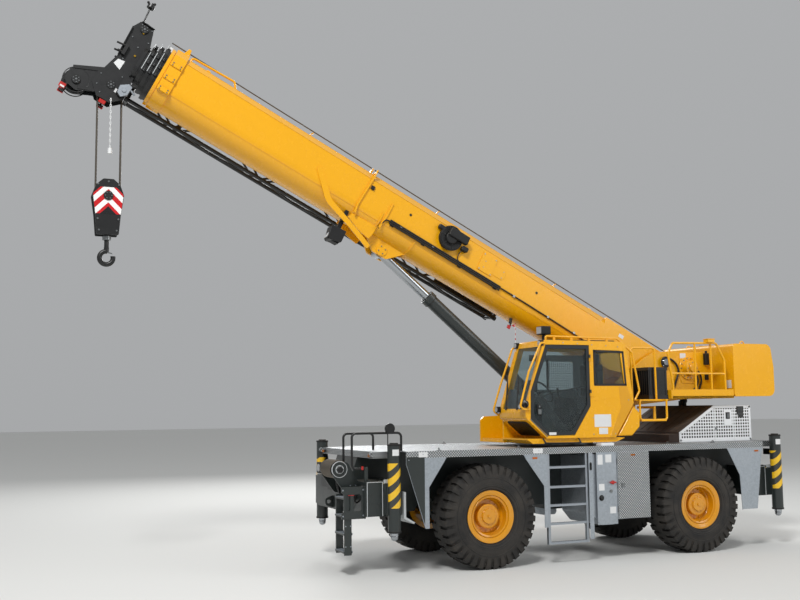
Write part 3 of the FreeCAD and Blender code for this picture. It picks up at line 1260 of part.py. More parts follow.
def boom_fittings():
    """What is bolted to the base section: cable reel, rails, floodlight, brackets and a plate line of hoses."""
    parts = []
    reel = rod("cable_reel", "y", (4420, SIDE, -110), 62, 370)
    reel_rim = rod("cable_reel_rim", "y", (4420, SIDE + " + 62", -110), 12, 400)
    reel_hub = rod("cable_reel_hub", "y", (4420, SIDE + " + 74", -110), 20, 120)
    parts.append(fuse("reel", reel, reel_rim, reel_hub))
    parts.append(box("access_panel", (3520, 3790), (SIDE, SIDE + " + 12"), (-290, 10)))
    hose = [box("hose_clamp", (x, x + 60), (SIDE, SIDE + " + 20"), (-440, -350)) for x in (3350, 4050, 4750, 5330)]
    lines = [rod("hose_line", "x", (3300, SIDE + " + 28", z), 2120, 26) for z in (-420, -390, -362)]
    parts.append(fuse("hoses", *hose + lines))
    lamp = side_plate("flood_lamp", [(5960, -880, 20), (5960, -1080, 30), (6160, -1120, 30), (6200, -900, 20)],
                      120, 330)
    lamp_arm = cut("flood_arm", box("flood_arm_bar", (6040, 6100), (190, 250), (-890, -540)),
                   bar("flood_arm_seat", boom_profile(0, "seat_gap"), 6030, 6110))
    parts.append(fuse("floodlight", lamp, lamp_arm))
    for x in (1500, 2700):
        parts.append(box("rope_roller", (x, x + 50), (-90, 90), ("boom_top + seat_gap", 240)))
    return group("boom_fittings", *parts)


node("boom_fittings", on_boom(boom_fittings()))

node("boom_foot_pin", rod("boom_foot_pin", "y", ("boom_foot_x", -440, "boom_foot_z"), 880,
                          "boom_foot_pin_diameter"))

# folded lattice jib on the far side of the boom
JIB_CHORDS = {
    # name: (height across the boom, distance to the side)
    "low": (-620, -400), "high": (-110, -400), "far_low": (-570, -760), "far_high": (-160, -760),
}
JIB_SIDES = [("low", "high"), ("far_low", "far_high"), ("high", "far_high"), ("low", "far_low")]
JIB_BAYS = 9


def jib():
    """Four chords, laced zigzag on all sides, with closed end frames and two brackets to the boom."""
    parts = []
    start, stop = number("jib_rear"), number("jib_rear + jib_length")
    bay = (stop - start) / JIB_BAYS
    for name, (z, y) in JIB_CHORDS.items():
        parts.append(rod("jib_chord_" + name, "x", ("jib_rear", y, z), "jib_length", "jib_chord_diameter"))
    for first, second in JIB_SIDES:
        (z0, y0), (z1, y1) = JIB_CHORDS[first], JIB_CHORDS[second]
        for index in range(JIB_BAYS):
            near, far = start + 20 + index * bay, start + (index + 1) * bay - 20
            if index % 2:
                near, far = far, near
            parts.append(strut("jib_lacing", (near, y0, z0), (far, y1, z1), "jib_lacing_diameter"))
        for x in (start + 20, stop - 20):
            parts.append(strut("jib_frame", (x, y0, z0), (x, y1, z1), "jib_chord_diameter - 6"))
    for x in (3360, 8760):
        parts.append(box("jib_hanger", (x, x + 70), (-425, "-boom_half_width - seat_gap"), (-330, -270)))
        parts.append(box("jib_plate", (x, x + 70), (-415, -385), (-640, -90)))
    return fuse("swing_jib", *parts)


node("swing_jib", on_boom(jib()))


# lift cylinder from the superstructure to the boom
def lift_angle():
    """The cylinder's resting slope and length between its pins."""
    angle = math.radians(number("boom_angle"))
    along, height = number("lift_eye_along"), number("lift_eye_height")
    x = number("boom_foot_x") + along * math.cos(angle) - height * math.sin(angle) - number("lift_foot_x")
    z = number("boom_foot_z") + along * math.sin(angle) + height * math.cos(angle) - number("lift_foot_z")
    return math.degrees(math.atan2(z, x)), math.hypot(x, z)


def on_lift(item):
    item.Placement.Rotation = FreeCAD.Rotation(FreeCAD.Vector(0, -1, 0), lift_angle()[0])
    return place(item, "lift_foot_x", 0, "lift_foot_z")


def lift_barrel():
    width = "lift_eye_width"
    eye = rod("barrel_eye", "y", (0, "-%s / 2" % width, 0), width, 210)
    neck = box("barrel_neck", (0, 230), ("-%s / 2" % width, "%s / 2" % width), (-86, 86))
    tube = rod("barrel_tube", "x", (205, 0, 0), "lift_barrel_length - 205", "lift_barrel_diameter")
    collar = rod("barrel_collar", "x", ("lift_barrel_length - 90", 0, 0), 90, "lift_collar_diameter")
    bore = rod("barrel_bore", "x", (260, 0, 0), "lift_barrel_length", "lift_rod_diameter + 2 * seat_gap")
    pin = rod("barrel_pin_bore", "y", (0, -200, 0), 400, "100 + 2 * seat_gap")
    return cut("lift_barrel", fuse("lift_barrel_body", eye, neck, tube, collar), bore, pin)


def lift_rod():
    reach = "%.3f" % lift_angle()[1]
    bar_part = rod("lift_bar", "x", (1250, 0, 0), reach + " - 1250", "lift_rod_diameter")
    eye = rod("lift_rod_eye", "y", (reach, "-lift_eye_width / 2", 0), "lift_eye_width", 220)
    return fuse("lift_rod", bar_part, eye)


node("lift_barrel", on_lift(lift_barrel()))
node("lift_rod", on_lift(lift_rod()))
node("lift_foot_pin", rod("lift_foot_pin", "y", ("lift_foot_x", "-lift_eye_width / 2 - 55", "lift_foot_z"),
                          "lift_eye_width + 110", 100))

# hook block on four falls of rope under the boom head
HEAD_X = ("boom_foot_x + head_sheave_along * cos(boom_angle * 1 deg)"
          " - head_sheave_height * sin(boom_angle * 1 deg)")
HEAD_Z = ("boom_foot_z + head_sheave_along * sin(boom_angle * 1 deg)"
          " + head_sheave_height * cos(boom_angle * 1 deg)")
FALL_RADIUS = "head_sheave_diameter / 2 - rope_diameter / 2 + seat_gap"
BLOCK_SIDE = [
    # distance from the block's middle, height, corner radius
    (70, "hook_block_top", 40), (160, 5480, 80), (215, 5330, 80), (175, 5060, 10),
    (150, "hook_block_bottom", 20), (-150, "hook_block_bottom", 20), (-175, 5060, 10),
    (-215, 5330, 80), (-160, 5480, 80), (-70, "hook_block_top", 40),
]


def hook_block():
    outline_points = [("%s + %d" % (HEAD_X, x), z, radius) for x, z, radius in BLOCK_SIDE]
    cheek = side_plate("hook_cheek", outline_points, 85, 105)
    pin = rod("block_pin", "y", (HEAD_X, -118, "hook_block_axle"), 236, 76)
    head = box("block_crosshead", (HEAD_X + " - 60", HEAD_X + " + 60"), (-86, 86),
               ("hook_block_bottom + 20", "hook_block_bottom + 110"))
    body = fuse("hook_block_body", cheek, mirror("hook_cheek_right", cheek), pin, head)
    bore = rod("block_shank_bore", "z", (HEAD_X, 0, "hook_block_bottom - 10"), 160, "64 + 2 * seat_gap")
    wheels = [place(sheave("block_sheave", "head_sheave_diameter", "76 + 2 * seat_gap"), HEAD_X,
                    "%d * sheave_spacing / 2" % side, "hook_block_axle") for side in (-1, 1)]
    return group("hook_block", cut("block_frame", body, bore), *wheels)


def hoist_ropes():
    """Each rope runs down one side, round its block sheave and up the other side."""
    parts = []
    for side in (-1, 1):
        x, y = number(HEAD_X), number("%d * sheave_spacing / 2" % side)
        low, high, radius = number("hook_block_axle"), number(HEAD_Z), number(FALL_RADIUS)
        left, right = x - radius, x + radius
        start = FreeCAD.Vector(left, y, high)
        edges = [
            Part.LineSegment(start, FreeCAD.Vector(left, y, low)).toShape(),
            Part.Arc(FreeCAD.Vector(left, y, low), FreeCAD.Vector(x, y, low - radius),
                     FreeCAD.Vector(right, y, low)).toShape(),
            Part.LineSegment(FreeCAD.Vector(right, y, low), FreeCAD.Vector(right, y, high)).toShape(),
        ]
        circle = Part.Circle(start, FreeCAD.Vector(0, 0, 1), number("rope_diameter") / 2)
        item = doc.addObject("Part::Feature", "rope_run")
        item.Shape = Part.Wire(edges).makePipeShell([Part.Wire(circle.toShape())], True, False)
        parts.append(item)
    return group("hoist_ropes", *parts)


def hook():
    shank = rod("hook_shank", "z", (HEAD_X, 0, 4600), "hook_block_bottom + 108 - 4600", 64)
    nut = rod("hook_nut", "z", (HEAD_X, 0, "hook_block_bottom + 110 + seat_gap"), 50, 110)
    stem = rod("hook_stem", "z", (HEAD_X, 0, "hook_block_bottom + 100"), 30, 64)
    ring = doc.addObject("Part::Torus", "hook_ring")
    ring.Placement.Rotation = FreeCAD.Rotation(FreeCAD.Vector(1, 0, 0), 90)
    bind(ring, "Radius1", 92)
    bind(ring, "Radius2", 34)
    place(ring, HEAD_X, 0, "hook_bottom + 126")
    gap = box("hook_gap", (HEAD_X + " - 140", HEAD_X + " - 10"), (-60, 60), ("hook_bottom + 150", 4640))
    neck = rod("hook_neck", "z", (HEAD_X, 0, "hook_bottom + 215"), 60, 70)
    return fuse("hook", cut("hook_bow", ring, gap), neck, shank, stem, nut)


node("hook_block", hook_block())
node("hook", hook())
node("hoist_ropes", hoist_ropes())

doc.recompute()
for item in doc.Objects:
    if "Invalid" in item.State or "Error" in item.State:
        raise RuntimeError("%s did not build" % item.Label)
os.makedirs("parts", exist_ok=True)
for item in nodes:
    if item.Shape.isNull() or not item.Shape.isValid():
        raise RuntimeError("%s has no valid shape" % item.Label)
    item.Shape.exportStep(os.path.join("parts", item.Label + ".step"))
print(len(nodes), "sub-parts")
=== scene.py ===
import json
import math

import bmesh
import bpy
from mathutils import Matrix, Vector


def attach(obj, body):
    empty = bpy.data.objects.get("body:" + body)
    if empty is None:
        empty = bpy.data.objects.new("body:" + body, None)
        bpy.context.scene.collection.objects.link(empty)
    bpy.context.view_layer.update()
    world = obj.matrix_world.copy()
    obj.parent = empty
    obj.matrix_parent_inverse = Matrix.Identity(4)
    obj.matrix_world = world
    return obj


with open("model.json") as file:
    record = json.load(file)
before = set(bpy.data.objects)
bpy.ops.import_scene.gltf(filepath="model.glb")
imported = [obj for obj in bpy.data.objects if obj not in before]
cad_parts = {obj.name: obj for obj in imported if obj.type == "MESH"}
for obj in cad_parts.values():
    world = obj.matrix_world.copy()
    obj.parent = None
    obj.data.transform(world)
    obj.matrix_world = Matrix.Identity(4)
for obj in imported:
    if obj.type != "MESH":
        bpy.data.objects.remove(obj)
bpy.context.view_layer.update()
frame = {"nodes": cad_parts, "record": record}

# Lengths are millimetres, and metres only where a comment says so. X points forward, +Y is the
# side of the cab, Z is up. Boom pieces are drawn along the boom, from its foot, and then raised.
MM = 0.001
NODES = frame["nodes"]
HERE = Matrix.Identity(4)
BOOM_ANGLE = math.radians(27)
LIFT_ANGLE = math.radians(40.18288)
CHIN_ANGLE = math.atan2(300, 350)
# the foot of the boom, the foot of the lift cylinder, the lower edge of the cab's chin: in metres
BOOM = Matrix.Translation((-3.970, 0, 3.060)) @ Matrix.Rotation(-BOOM_ANGLE, 4, "Y")
LIFT = Matrix.Translation((-2.170, 0, 2.010)) @ Matrix.Rotation(-LIFT_ANGLE, 4, "Y")
CHIN = Matrix.Translation((-1.130, 0, 1.850)) @ Matrix.Rotation(-CHIN_ANGLE, 4, "Y")
# turns a plate that is drawn flat upright: its second axis up, its thickness across
UPRIGHT = Matrix(((1, 0, 0, 0), (0, 0, 1, 0), (0, 1, 0, 0), (0, 0, 0, 1)))
HOOK_X = (BOOM @ Vector((9.910, 0, -0.730))).x / MM
SKIRT = 1310          # outer face of the carrier's skirts
PANEL = 1314          # outer face of the panels screwed on them
DECK = 1720           # top of the deck
WHEEL_HEIGHT = 750    # middle of the wheels
TRACK_HALF = 1045
TURRET_SIDE = 400     # outer face of the superstructure's side plates
DOOR_SIDE = 1220      # outer face of the cab at its door
HOOD_SIDE = 800
BEAM_SIDE = 318       # side of the boom's base section
HEAD_SIDE = 114       # outer face of the head's plates
JACK_SIDE = 1200      # middle of the jacks


# colours and node materials
def linear(code):
    """A six-digit sRGB hex value as linear RGBA."""
    values = [int(code[i:i + 2], 16) / 255 for i in (0, 2, 4)]
    return [v / 12.92 if v <= 0.04045 else ((v + 0.055) / 1.055) ** 2.4 for v in values] + [1.0]


def add(tree, kind, inputs, output=0, **settings):
    """Adds a node with its settings, and links sockets or writes values into its inputs."""
    node = tree.nodes.new(kind)
    for key, value in settings.items():
        setattr(node, key, value)
    for key, value in inputs.items():
        if isinstance(value, bpy.types.NodeSocket):
            tree.links.new(value, node.inputs[key])
        else:
            node.inputs[key].default_value = value
    return node.outputs[output] if len(node.outputs) else node


def cloud(place, size, detail):
    """What a noise texture takes so that its patches measure about so many millimetres."""
    return {"Vector": place, "Scale": 1 / (size * MM), "Detail": detail, "Roughness": 0.55}


def begin(name):
    """A material with no nodes yet, its tree, and the coordinates that its patterns lie on."""
    mat = bpy.data.materials.new(name)
    mat.use_nodes = True
    mat.node_tree.nodes.clear()
    return mat, mat.node_tree, add(mat.node_tree, "ShaderNodeTexCoord", {}, "Object")


def end(mat, inputs):
    """Closes a material with its shader and output."""
    shader = add(mat.node_tree, "ShaderNodeBsdfPrincipled", inputs)
    add(mat.node_tree, "ShaderNodeOutputMaterial", {"Surface": shader})
    return mat


DUST = linear("9c9182")


def coated(name, code, rough, grain, dust, sockets):
    """Colour in soft patches, dust on what faces up, a gloss that varies, and a fine grain."""
    mat, tree, place = begin(name)
    colour = linear(code)
    worn = [value * 0.72 for value in colour[:3]] + [1.0]
    normal = add(tree, "ShaderNodeNewGeometry", {}, "Normal")
    upward = add(tree, "ShaderNodeSeparateXYZ", {"Vector": normal}, "Z")
    upward = add(tree, "ShaderNodeMath", {0: upward, 1: 0.0}, operation="MAXIMUM")
    upward = add(tree, "ShaderNodeMath", {0: upward, 1: dust}, operation="MULTIPLY")
    specks = add(tree, "ShaderNodeTexNoise", cloud(place, 160, 5))
    settled = add(tree, "ShaderNodeMath", {0: upward, 1: specks}, operation="MULTIPLY")
    patches = add(tree, "ShaderNodeTexNoise", cloud(place, 420, 4))
    patches = add(tree, "ShaderNodeMath", {0: patches, 1: 0.22}, operation="MULTIPLY")
    base = add(tree, "ShaderNodeMix", {0: patches, 6: colour, 7: worn}, 2, data_type="RGBA")
    base = add(tree, "ShaderNodeMix", {0: settled, 6: base, 7: DUST}, 2, data_type="RGBA")
    sheen = add(tree, "ShaderNodeTexNoise", cloud(place, 90, 4))
    sheen = add(tree, "ShaderNodeMath", {0: sheen, 1: 0.16, 2: rough - 0.08},
                operation="MULTIPLY_ADD")
    gloss = add(tree, "ShaderNodeMath", {0: sheen, 1: settled}, operation="ADD")
    inputs = {"Base Color": base, "Roughness": gloss}
    if grain:
        fine = add(tree, "ShaderNodeTexNoise", cloud(place, grain, 2))
        inputs["Normal"] = add(tree, "ShaderNodeBump",
                               {"Height": fine, "Strength": 0.08, "Distance": 0.6 * MM})
    inputs.update(sockets)
    return end(mat, inputs)


def enamel(name, code, rough, coat, dust):
    """Sprayed enamel: orange peel of about 24 mm under a thin clear gloss."""
    return coated(name, code, rough, 24, dust, {"Coat Weight": coat, "Coat Roughness": 0.12})


def metal(name, code, rough, grain, metallic=1.0, dust=0.15):
    return coated(name, code, rough, grain, dust, {"Metallic": metallic})


def plastic(name, code, rough):
    """Moulded plastic, rubber or cloth: a fine grain, drawn at 5 mm so that it shows."""
    return coated(name, code, rough, 5, 0.25, {})


# name, colour, roughness, clear coat, dust: each comment says what the eye gets
YELLOW = enamel("machine enamel, signal yellow, sprayed", "eeab07", 0.26, 0.25, 0.12)
# even and glossy, with long soft highlights
YELLOW_PAINTED_SHADE = enamel("machine enamel, yellow, darker copy for painted shade", "dc9c08", 0.3, 0.25, 0.15)
# the same paint, darker as a painted shade, and a little duller
GREY_GREEN = enamel("machine enamel, dark grey green, sprayed", "272d2c", 0.38, 0.15, 0.3)
# dark and dusty, for what lies low
DARK = enamel("machine enamel, black, satin", "0e0f10", 0.42, 0.1, 0.1)
# near black with a soft shine on its edges
WHITE = enamel("powder coat, white, on perforated sheet", "e6e8ea", 0.4, 0.15, 0.3)
# even and slightly matt
PALE = enamel("machine enamel, light grey, sprayed", "b9bdbe", 0.4, 0.15, 0.3)
# light grey with dust on its ledges
LABEL = enamel("label film, white, left blank", "dcdddd", 0.4, 0.2, 0.1)
# a flat bright film, without print
LABEL_YELLOW = enamel("label film, yellow, left blank", "f2d011", 0.35, 0.3, 0.1)
# a lighter, greener yellow than the paint
RED = enamel("paint, signal red", "b3160f", 0.35, 0.3, 0.1)
# clear red of small warning parts
ORANGE = enamel("machine enamel, warm yellow, glossy, on wheel rims", "d8920a", 0.16, 0.5, 0.08)
# warmer and wetter than the body's yellow

# name, colour, roughness
BLACK = plastic("moulded plastic, black, fine grain", "08090a", 0.6)
# soft black without a clear highlight
HOSE = plastic("hydraulic hose, black rubber, wrapped", "0b0b0c", 0.45)
# black with a dull streak of light along it
RUBBER_DARK = plastic("tyre sidewall rubber, smooth, black", "161616", 0.55)
# smoother and darker than the lugs
SEAT = plastic("woven seat cloth, charcoal", "1d2024", 0.9)
# takes no highlight at all
LINER = plastic("cab trim, moulded, dark grey", "1b2023", 0.6)
# dull dark grey round the door's glass
INNER = plastic("cab liner, moulded, mid grey", "687174", 0.7)
# pale enough to show through the windows

# name, colour, roughness, grain, metallic, dust
CHROME = metal("hard chrome plate, ground and polished", "a9adb1", 0.14, 0, dust=0.05)
# mirrors the studio in long bands
STEEL = metal("steel, machined and oiled", "8a8d8e", 0.34, 5)
# small bright glints on bolts and pins
ROPE = metal("wire rope, greased steel strands", "6d675f", 0.5, 3)
# brownish grey and dull with grease
ROPE_DARK = metal("wire rope, greased strands, dark", "3c3832", 0.5, 3)
# the shade between the strands
ZINC = metal("steel sheet, hot-dip galvanised", "aab1b8", 0.42, 30, 0.85)
# blueish grey, half dull
IRON = metal("cast iron, grey primer", "4a4d4f", 0.6, 10, 0.4)
# rough grey casting
BROWN = metal("radiator screen, brown primer, dusty", "33231a", 0.65, 12, 0.2, 0.4)
# dark brown under pale dust
BRASS = metal("brass, turned", "c9a035", 0.3, 4)
# yellow glints of grease fittings
REFLECTOR = metal("lamp reflector, aluminised", "e8e8e8", 0.08, 0, 1.0, 0.0)
# shows what stands before it


def spangle():
    """Galvanised sheet: crystal patches of about 26 mm under a dull white bloom."""
    mat, tree, place = begin("steel sheet, hot-dip galvanised, spangled")
    cells = add(tree, "ShaderNodeTexVoronoi", {"Vector": place, "Scale": 1 / (26 * MM)}, "Color")
    tone = add(tree, "ShaderNodeSeparateXYZ", {"Vector": cells}, "X")
    crystal = add(tree, "ShaderNodeMath", {0: tone, 1: 0.35}, operation="MULTIPLY")
    bloom = add(tree, "ShaderNodeTexNoise", cloud(place, 380, 5))
    bloom = add(tree, "ShaderNodeMath", {0: bloom, 1: 0.35}, operation="MULTIPLY")
    base = add(tree, "ShaderNodeMix", {0: crystal, 6: linear("a9b1b9"), 7: linear("838c94")}, 2,
               data_type="RGBA")
    base = add(tree, "ShaderNodeMix", {0: bloom, 6: base, 7: linear("bfc3c6")}, 2,
               data_type="RGBA")
    gloss = add(tree, "ShaderNodeMath", {0: tone, 1: 0.14, 2: 0.38}, operation="MULTIPLY_ADD")
    return end(mat, {"Base Color": base, "Metallic": 0.75, "Roughness": gloss})


def tread_plate():
    """Aluminium safety plate: raised buttons in a grid, coloured bright over dull metal as a
    painted highlight, as if each caught the light. The real pitch of about 25 mm is drawn at 40
    mm, or the buttons would melt together."""
    mat, tree, place = begin("aluminium safety plate, pressed buttons")
    normal = add(tree, "ShaderNodeNewGeometry", {}, "Normal")
    waves, facing = {}, {}
    for axis in "XYZ":
        along = add(tree, "ShaderNodeSeparateXYZ", {"Vector": place}, axis)
        along = add(tree, "ShaderNodeMath", {0: along, 1: 2 * math.pi / (40 * MM)},
                    operation="MULTIPLY")
        waves[axis] = add(tree, "ShaderNodeMath", {0: along}, operation="SINE")
        part = add(tree, "ShaderNodeSeparateXYZ", {"Vector": normal}, axis)
        facing[axis] = add(tree, "ShaderNodeMath", {0: part}, operation="ABSOLUTE")
    height = 0.0
    for axis, (first, second) in (("X", "YZ"), ("Y", "XZ"), ("Z", "XY")):
        grid = add(tree, "ShaderNodeMath", {0: waves[first], 1: waves[second]},
                   operation="MULTIPLY")
        height = add(tree, "ShaderNodeMath", {0: facing[axis], 1: grid, 2: height},
                     operation="MULTIPLY_ADD")
    button = add(tree, "ShaderNodeMapRange", {"Value": height, "From Min": 0.2, "From Max": 0.6})
    grime = add(tree, "ShaderNodeTexNoise", cloud(place, 240, 5))
    grime = add(tree, "ShaderNodeMath", {0: grime, 1: 0.3}, operation="MULTIPLY")
    # the raised buttons are coloured near white over dull grey: a painted highlight
    base = add(tree, "ShaderNodeMix", {0: button, 6: linear("7b8185"), 7: linear("eceff0")}, 2,
               data_type="RGBA")
    base = add(tree, "ShaderNodeMix", {0: grime, 6: base, 7: linear("877f74")}, 2,
               data_type="RGBA")
    relief = add(tree, "ShaderNodeBump", {"Height": button, "Strength": 0.7, "Distance": 3 * MM})
    return end(mat, {"Base Color": base, "Metallic": 0.85, "Roughness": 0.36, "Normal": relief})


def tyre_rubber():
    """Moulded rubber: nearly black, with grey-brown dust in patches, and no shine."""
    mat, tree, place = begin("tyre rubber, moulded, dusty lugs")
    dusty = add(tree, "ShaderNodeTexNoise", cloud(place, 210, 5))
    dusty = add(tree, "ShaderNodeMapRange",
                {"Value": dusty, "From Min": 0.3, "From Max": 0.75, "To Max": 0.8})
    base = add(tree, "ShaderNodeMix", {0: dusty, 6: linear("141414"), 7: linear("3c3731")}, 2,
               data_type="RGBA")
    pores = add(tree, "ShaderNodeTexNoise", cloud(place, 7, 4))
    relief = add(tree, "ShaderNodeBump", {"Height": pores, "Strength": 0.3, "Distance": 1.2 * MM})
    return end(mat, {"Base Color": base, "Roughness": 0.78, "Normal": relief})


def tinted_glass():
    """Toughened sheet: clear with a grey-green tint. It is thin, so it hardly bends the view."""
    mat, tree, place = begin("safety glass, grey tint, toughened")
    return end(mat, {"Base Color": linear("c9d6d8"), "Roughness": 0.03, "IOR": 1.06,
                     "Transmission Weight": 0.97, "Coat Weight": 0.4, "Coat Roughness": 0.02})


def lamp_lens(name, code):
    """Polycarbonate lens: glossy, half clear over what lies behind it."""
    mat, tree, place = begin(name)
    return end(mat, {"Base Color": linear(code), "Roughness": 0.05, "IOR": 1.45,
                     "Transmission Weight": 0.6})


def perforated():
    """White sheet punched with square holes in rows, a pitch of 52 mm: a light grey veil. The
    holes are painted near black, a painted shade for the dark space behind the sheet.
    """
    mat, tree, place = begin("perforated steel sheet, white powder coat")
    inside = []
    for axis in "XZ":
        along = add(tree, "ShaderNodeSeparateXYZ", {"Vector": place}, axis)
        along = add(tree, "ShaderNodeMath", {0: along, 1: 52 * MM}, operation="DIVIDE")
        along = add(tree, "ShaderNodeMath", {0: along}, operation="FRACT")
        inside.append(add(tree, "ShaderNodeMath", {0: along, 1: 0.36}, operation="GREATER_THAN"))
    hole = add(tree, "ShaderNodeMath", {0: inside[0], 1: inside[1]}, operation="MULTIPLY")
    grime = add(tree, "ShaderNodeTexNoise", cloud(place, 180, 4))
    grime = add(tree, "ShaderNodeMath", {0: grime, 1: 0.15}, operation="MULTIPLY")
    # the holes are coloured near black: painted shade for the dark space behind them
    base = add(tree, "ShaderNodeMix", {0: hole, 6: linear("e8eaec"), 7: linear("0c0d0e")}, 2,
               data_type="RGBA")
    base = add(tree, "ShaderNodeMix", {0: grime, 6: base, 7: linear("b9b4aa")}, 2,
               data_type="RGBA")
    return end(mat, {"Base Color": base, "Roughness": 0.42})


def chevrons():
    """Red and white bands that rise to the middle of the hook block, between black ends."""
    mat, tree, place = begin("chevron bands, red and white, on black")
    across = add(tree, "ShaderNodeSeparateXYZ", {"Vector": place}, "X")
    across = add(tree, "ShaderNodeMath", {0: across, 1: HOOK_X * MM}, operation="SUBTRACT")
    across = add(tree, "ShaderNodeMath", {0: across}, operation="ABSOLUTE")
    high = add(tree, "ShaderNodeSeparateXYZ", {"Vector": place}, "Z")
    slope = add(tree, "ShaderNodeMath", {0: high, 1: across}, operation="ADD")
    band = add(tree, "ShaderNodeMath", {0: slope, 1: 190 * MM}, operation="DIVIDE")
    band = add(tree, "ShaderNodeMath", {0: band}, operation="FRACT")
    band = add(tree, "ShaderNodeMath", {0: band, 1: 0.5}, operation="GREATER_THAN")
    above = add(tree, "ShaderNodeMath", {0: slope, 1: 5170 * MM}, operation="GREATER_THAN")
    below = add(tree, "ShaderNodeMath", {0: slope, 1: 5550 * MM}, operation="LESS_THAN")
    between = add(tree, "ShaderNodeMath", {0: above, 1: below}, operation="MULTIPLY")
    colour = add(tree, "ShaderNodeMix", {0: band, 6: linear("c4121a"), 7: linear("f1f1ef")}, 2,
                 data_type="RGBA")
    base = add(tree, "ShaderNodeMix", {0: between, 6: linear("121315"), 7: colour}, 2,
               data_type="RGBA")
    peel = add(tree, "ShaderNodeTexNoise", cloud(place, 20, 2))
    relief = add(tree, "ShaderNodeBump", {"Height": peel, "Strength": 0.06, "Distance": 0.5 * MM})
    return end(mat, {"Base Color": base, "Roughness": 0.35, "Normal": relief})


def jack_bands():
    """Dark enamel with yellow bands, 210 mm from one to the next, that climb forward."""
    mat, tree, place = begin("jack tube enamel, dark grey green with yellow bands")
    forward = add(tree, "ShaderNodeSeparateXYZ", {"Vector": place}, "X")
    high = add(tree, "ShaderNodeSeparateXYZ", {"Vector": place}, "Z")
    slope = add(tree, "ShaderNodeMath", {0: forward, 1: 0.95, 2: high}, operation="MULTIPLY_ADD")
    band = add(tree, "ShaderNodeMath", {0: slope, 1: 210 * MM}, operation="DIVIDE")
    band = add(tree, "ShaderNodeMath", {0: band}, operation="FRACT")
    band = add(tree, "ShaderNodeMath", {0: band, 1: 0.5}, operation="GREATER_THAN")
    grime = add(tree, "ShaderNodeTexNoise", cloud(place, 90, 4))
    grime = add(tree, "ShaderNodeMath", {0: grime, 1: 0.2}, operation="MULTIPLY")
    base = add(tree, "ShaderNodeMix", {0: band, 6: linear("262b29"), 7: linear("f2c014")}, 2,
               data_type="RGBA")
    base = add(tree, "ShaderNodeMix", {0: grime, 6: base, 7: linear("6d675c")}, 2,
               data_type="RGBA")
    return end(mat, {"Base Color": base, "Roughness": 0.34, "Coat Weight": 0.3})


GALVANISED = spangle()
TREAD = tread_plate()
RUBBER = tyre_rubber()
GLASS = tinted_glass()
LENS = lamp_lens("lamp lens, clear polycarbonate", "f4f6f7")
AMBER = lamp_lens("lamp lens, amber polycarbonate", "f08a10")
RED_LENS = lamp_lens("lamp lens, red polycarbonate", "c01510")
PERFORATED = perforated()
CHEVRONS = chevrons()
JACK_BANDS = jack_bands()

# every CAD node's finish: by its slot in the record, or its own
FINISHES = {
    "tyre_rubber": RUBBER, "yellow_paint": YELLOW, "frame_paint": GREY_GREEN,
    "bright_steel": CHROME, "bare_steel": STEEL, "deck_paint": GALVANISED, "dark_steel": DARK,
    "black_plastic": BLACK, "white_sheet": WHITE, "glass": GLASS, "wire_rope": ROPE,
    "cast_engine": IRON,
}
OWN_FINISH = {
    "cab_interior": SEAT, "deck": TREAD, "door_frame": LINER, "engine_hood": WHITE,
    "walkways": YELLOW, "front_frame": GREY_GREEN, "front_winch": DARK, "boom_section_2": DARK,
    "boom_section_3": DARK, "boom_section_4": DARK, "boom_tip": DARK, "head_sheaves": DARK,
    "boom_fittings": YELLOW, "handrails": YELLOW, "cab_guards": YELLOW, "ladders": ZINC,
    "lift_barrel": GREY_GREEN, "swing_jib": DARK,
}
SLOT_OF = {entry["node"]: entry["material_slot"] for entry in frame["record"]["subparts"]}
for name, node in NODES.items():
    finish = ORANGE if name.startswith("rim_") else OWN_FINISH.get(name, FINISHES[SLOT_OF[name]])
    node.data.materials.clear()
    node.data.materials.append(finish)
    for face in node.data.polygons:
        face.material_index = 0
    # soft shading, with the creases kept sharp
    node.data.shade_smooth()
    node.data.set_sharp_from_angle(angle=math.radians(32))


def recolour(name, finish, wanted):
    """Gives another finish to the faces of a CAD node whose place on the boom passes a test."""
    data = NODES[name].data
    data.materials.append(finish)
    back = BOOM.inverted()
    for face in data.polygons:
        along, across, height = (back @ face.center) / MM
        if wanted(along, height):
            face.material_index = len(data.materials) - 1


# the cable reel's core, and the hoses below the boom
recolour("boom_fittings", BLACK,
         lambda along, height: 4180 < along < 4660 and -340 < height < 100)
recolour("boom_fittings", HOSE, lambda along, height: height < -345)


# making pieces
def span(side, first, second):
    """Two distances from the middle plane, on one side of it, as a rising pair."""
    return sorted((side * first, side * second))


def carried(axis):
    """The turn that carries Z onto an axis."""
    return Vector(axis).to_track_quat("Z", "Y").to_matrix().to_4x4()


def parts_of(shape):
    return shape.verts[:] + shape.edges[:] + shape.faces[:]


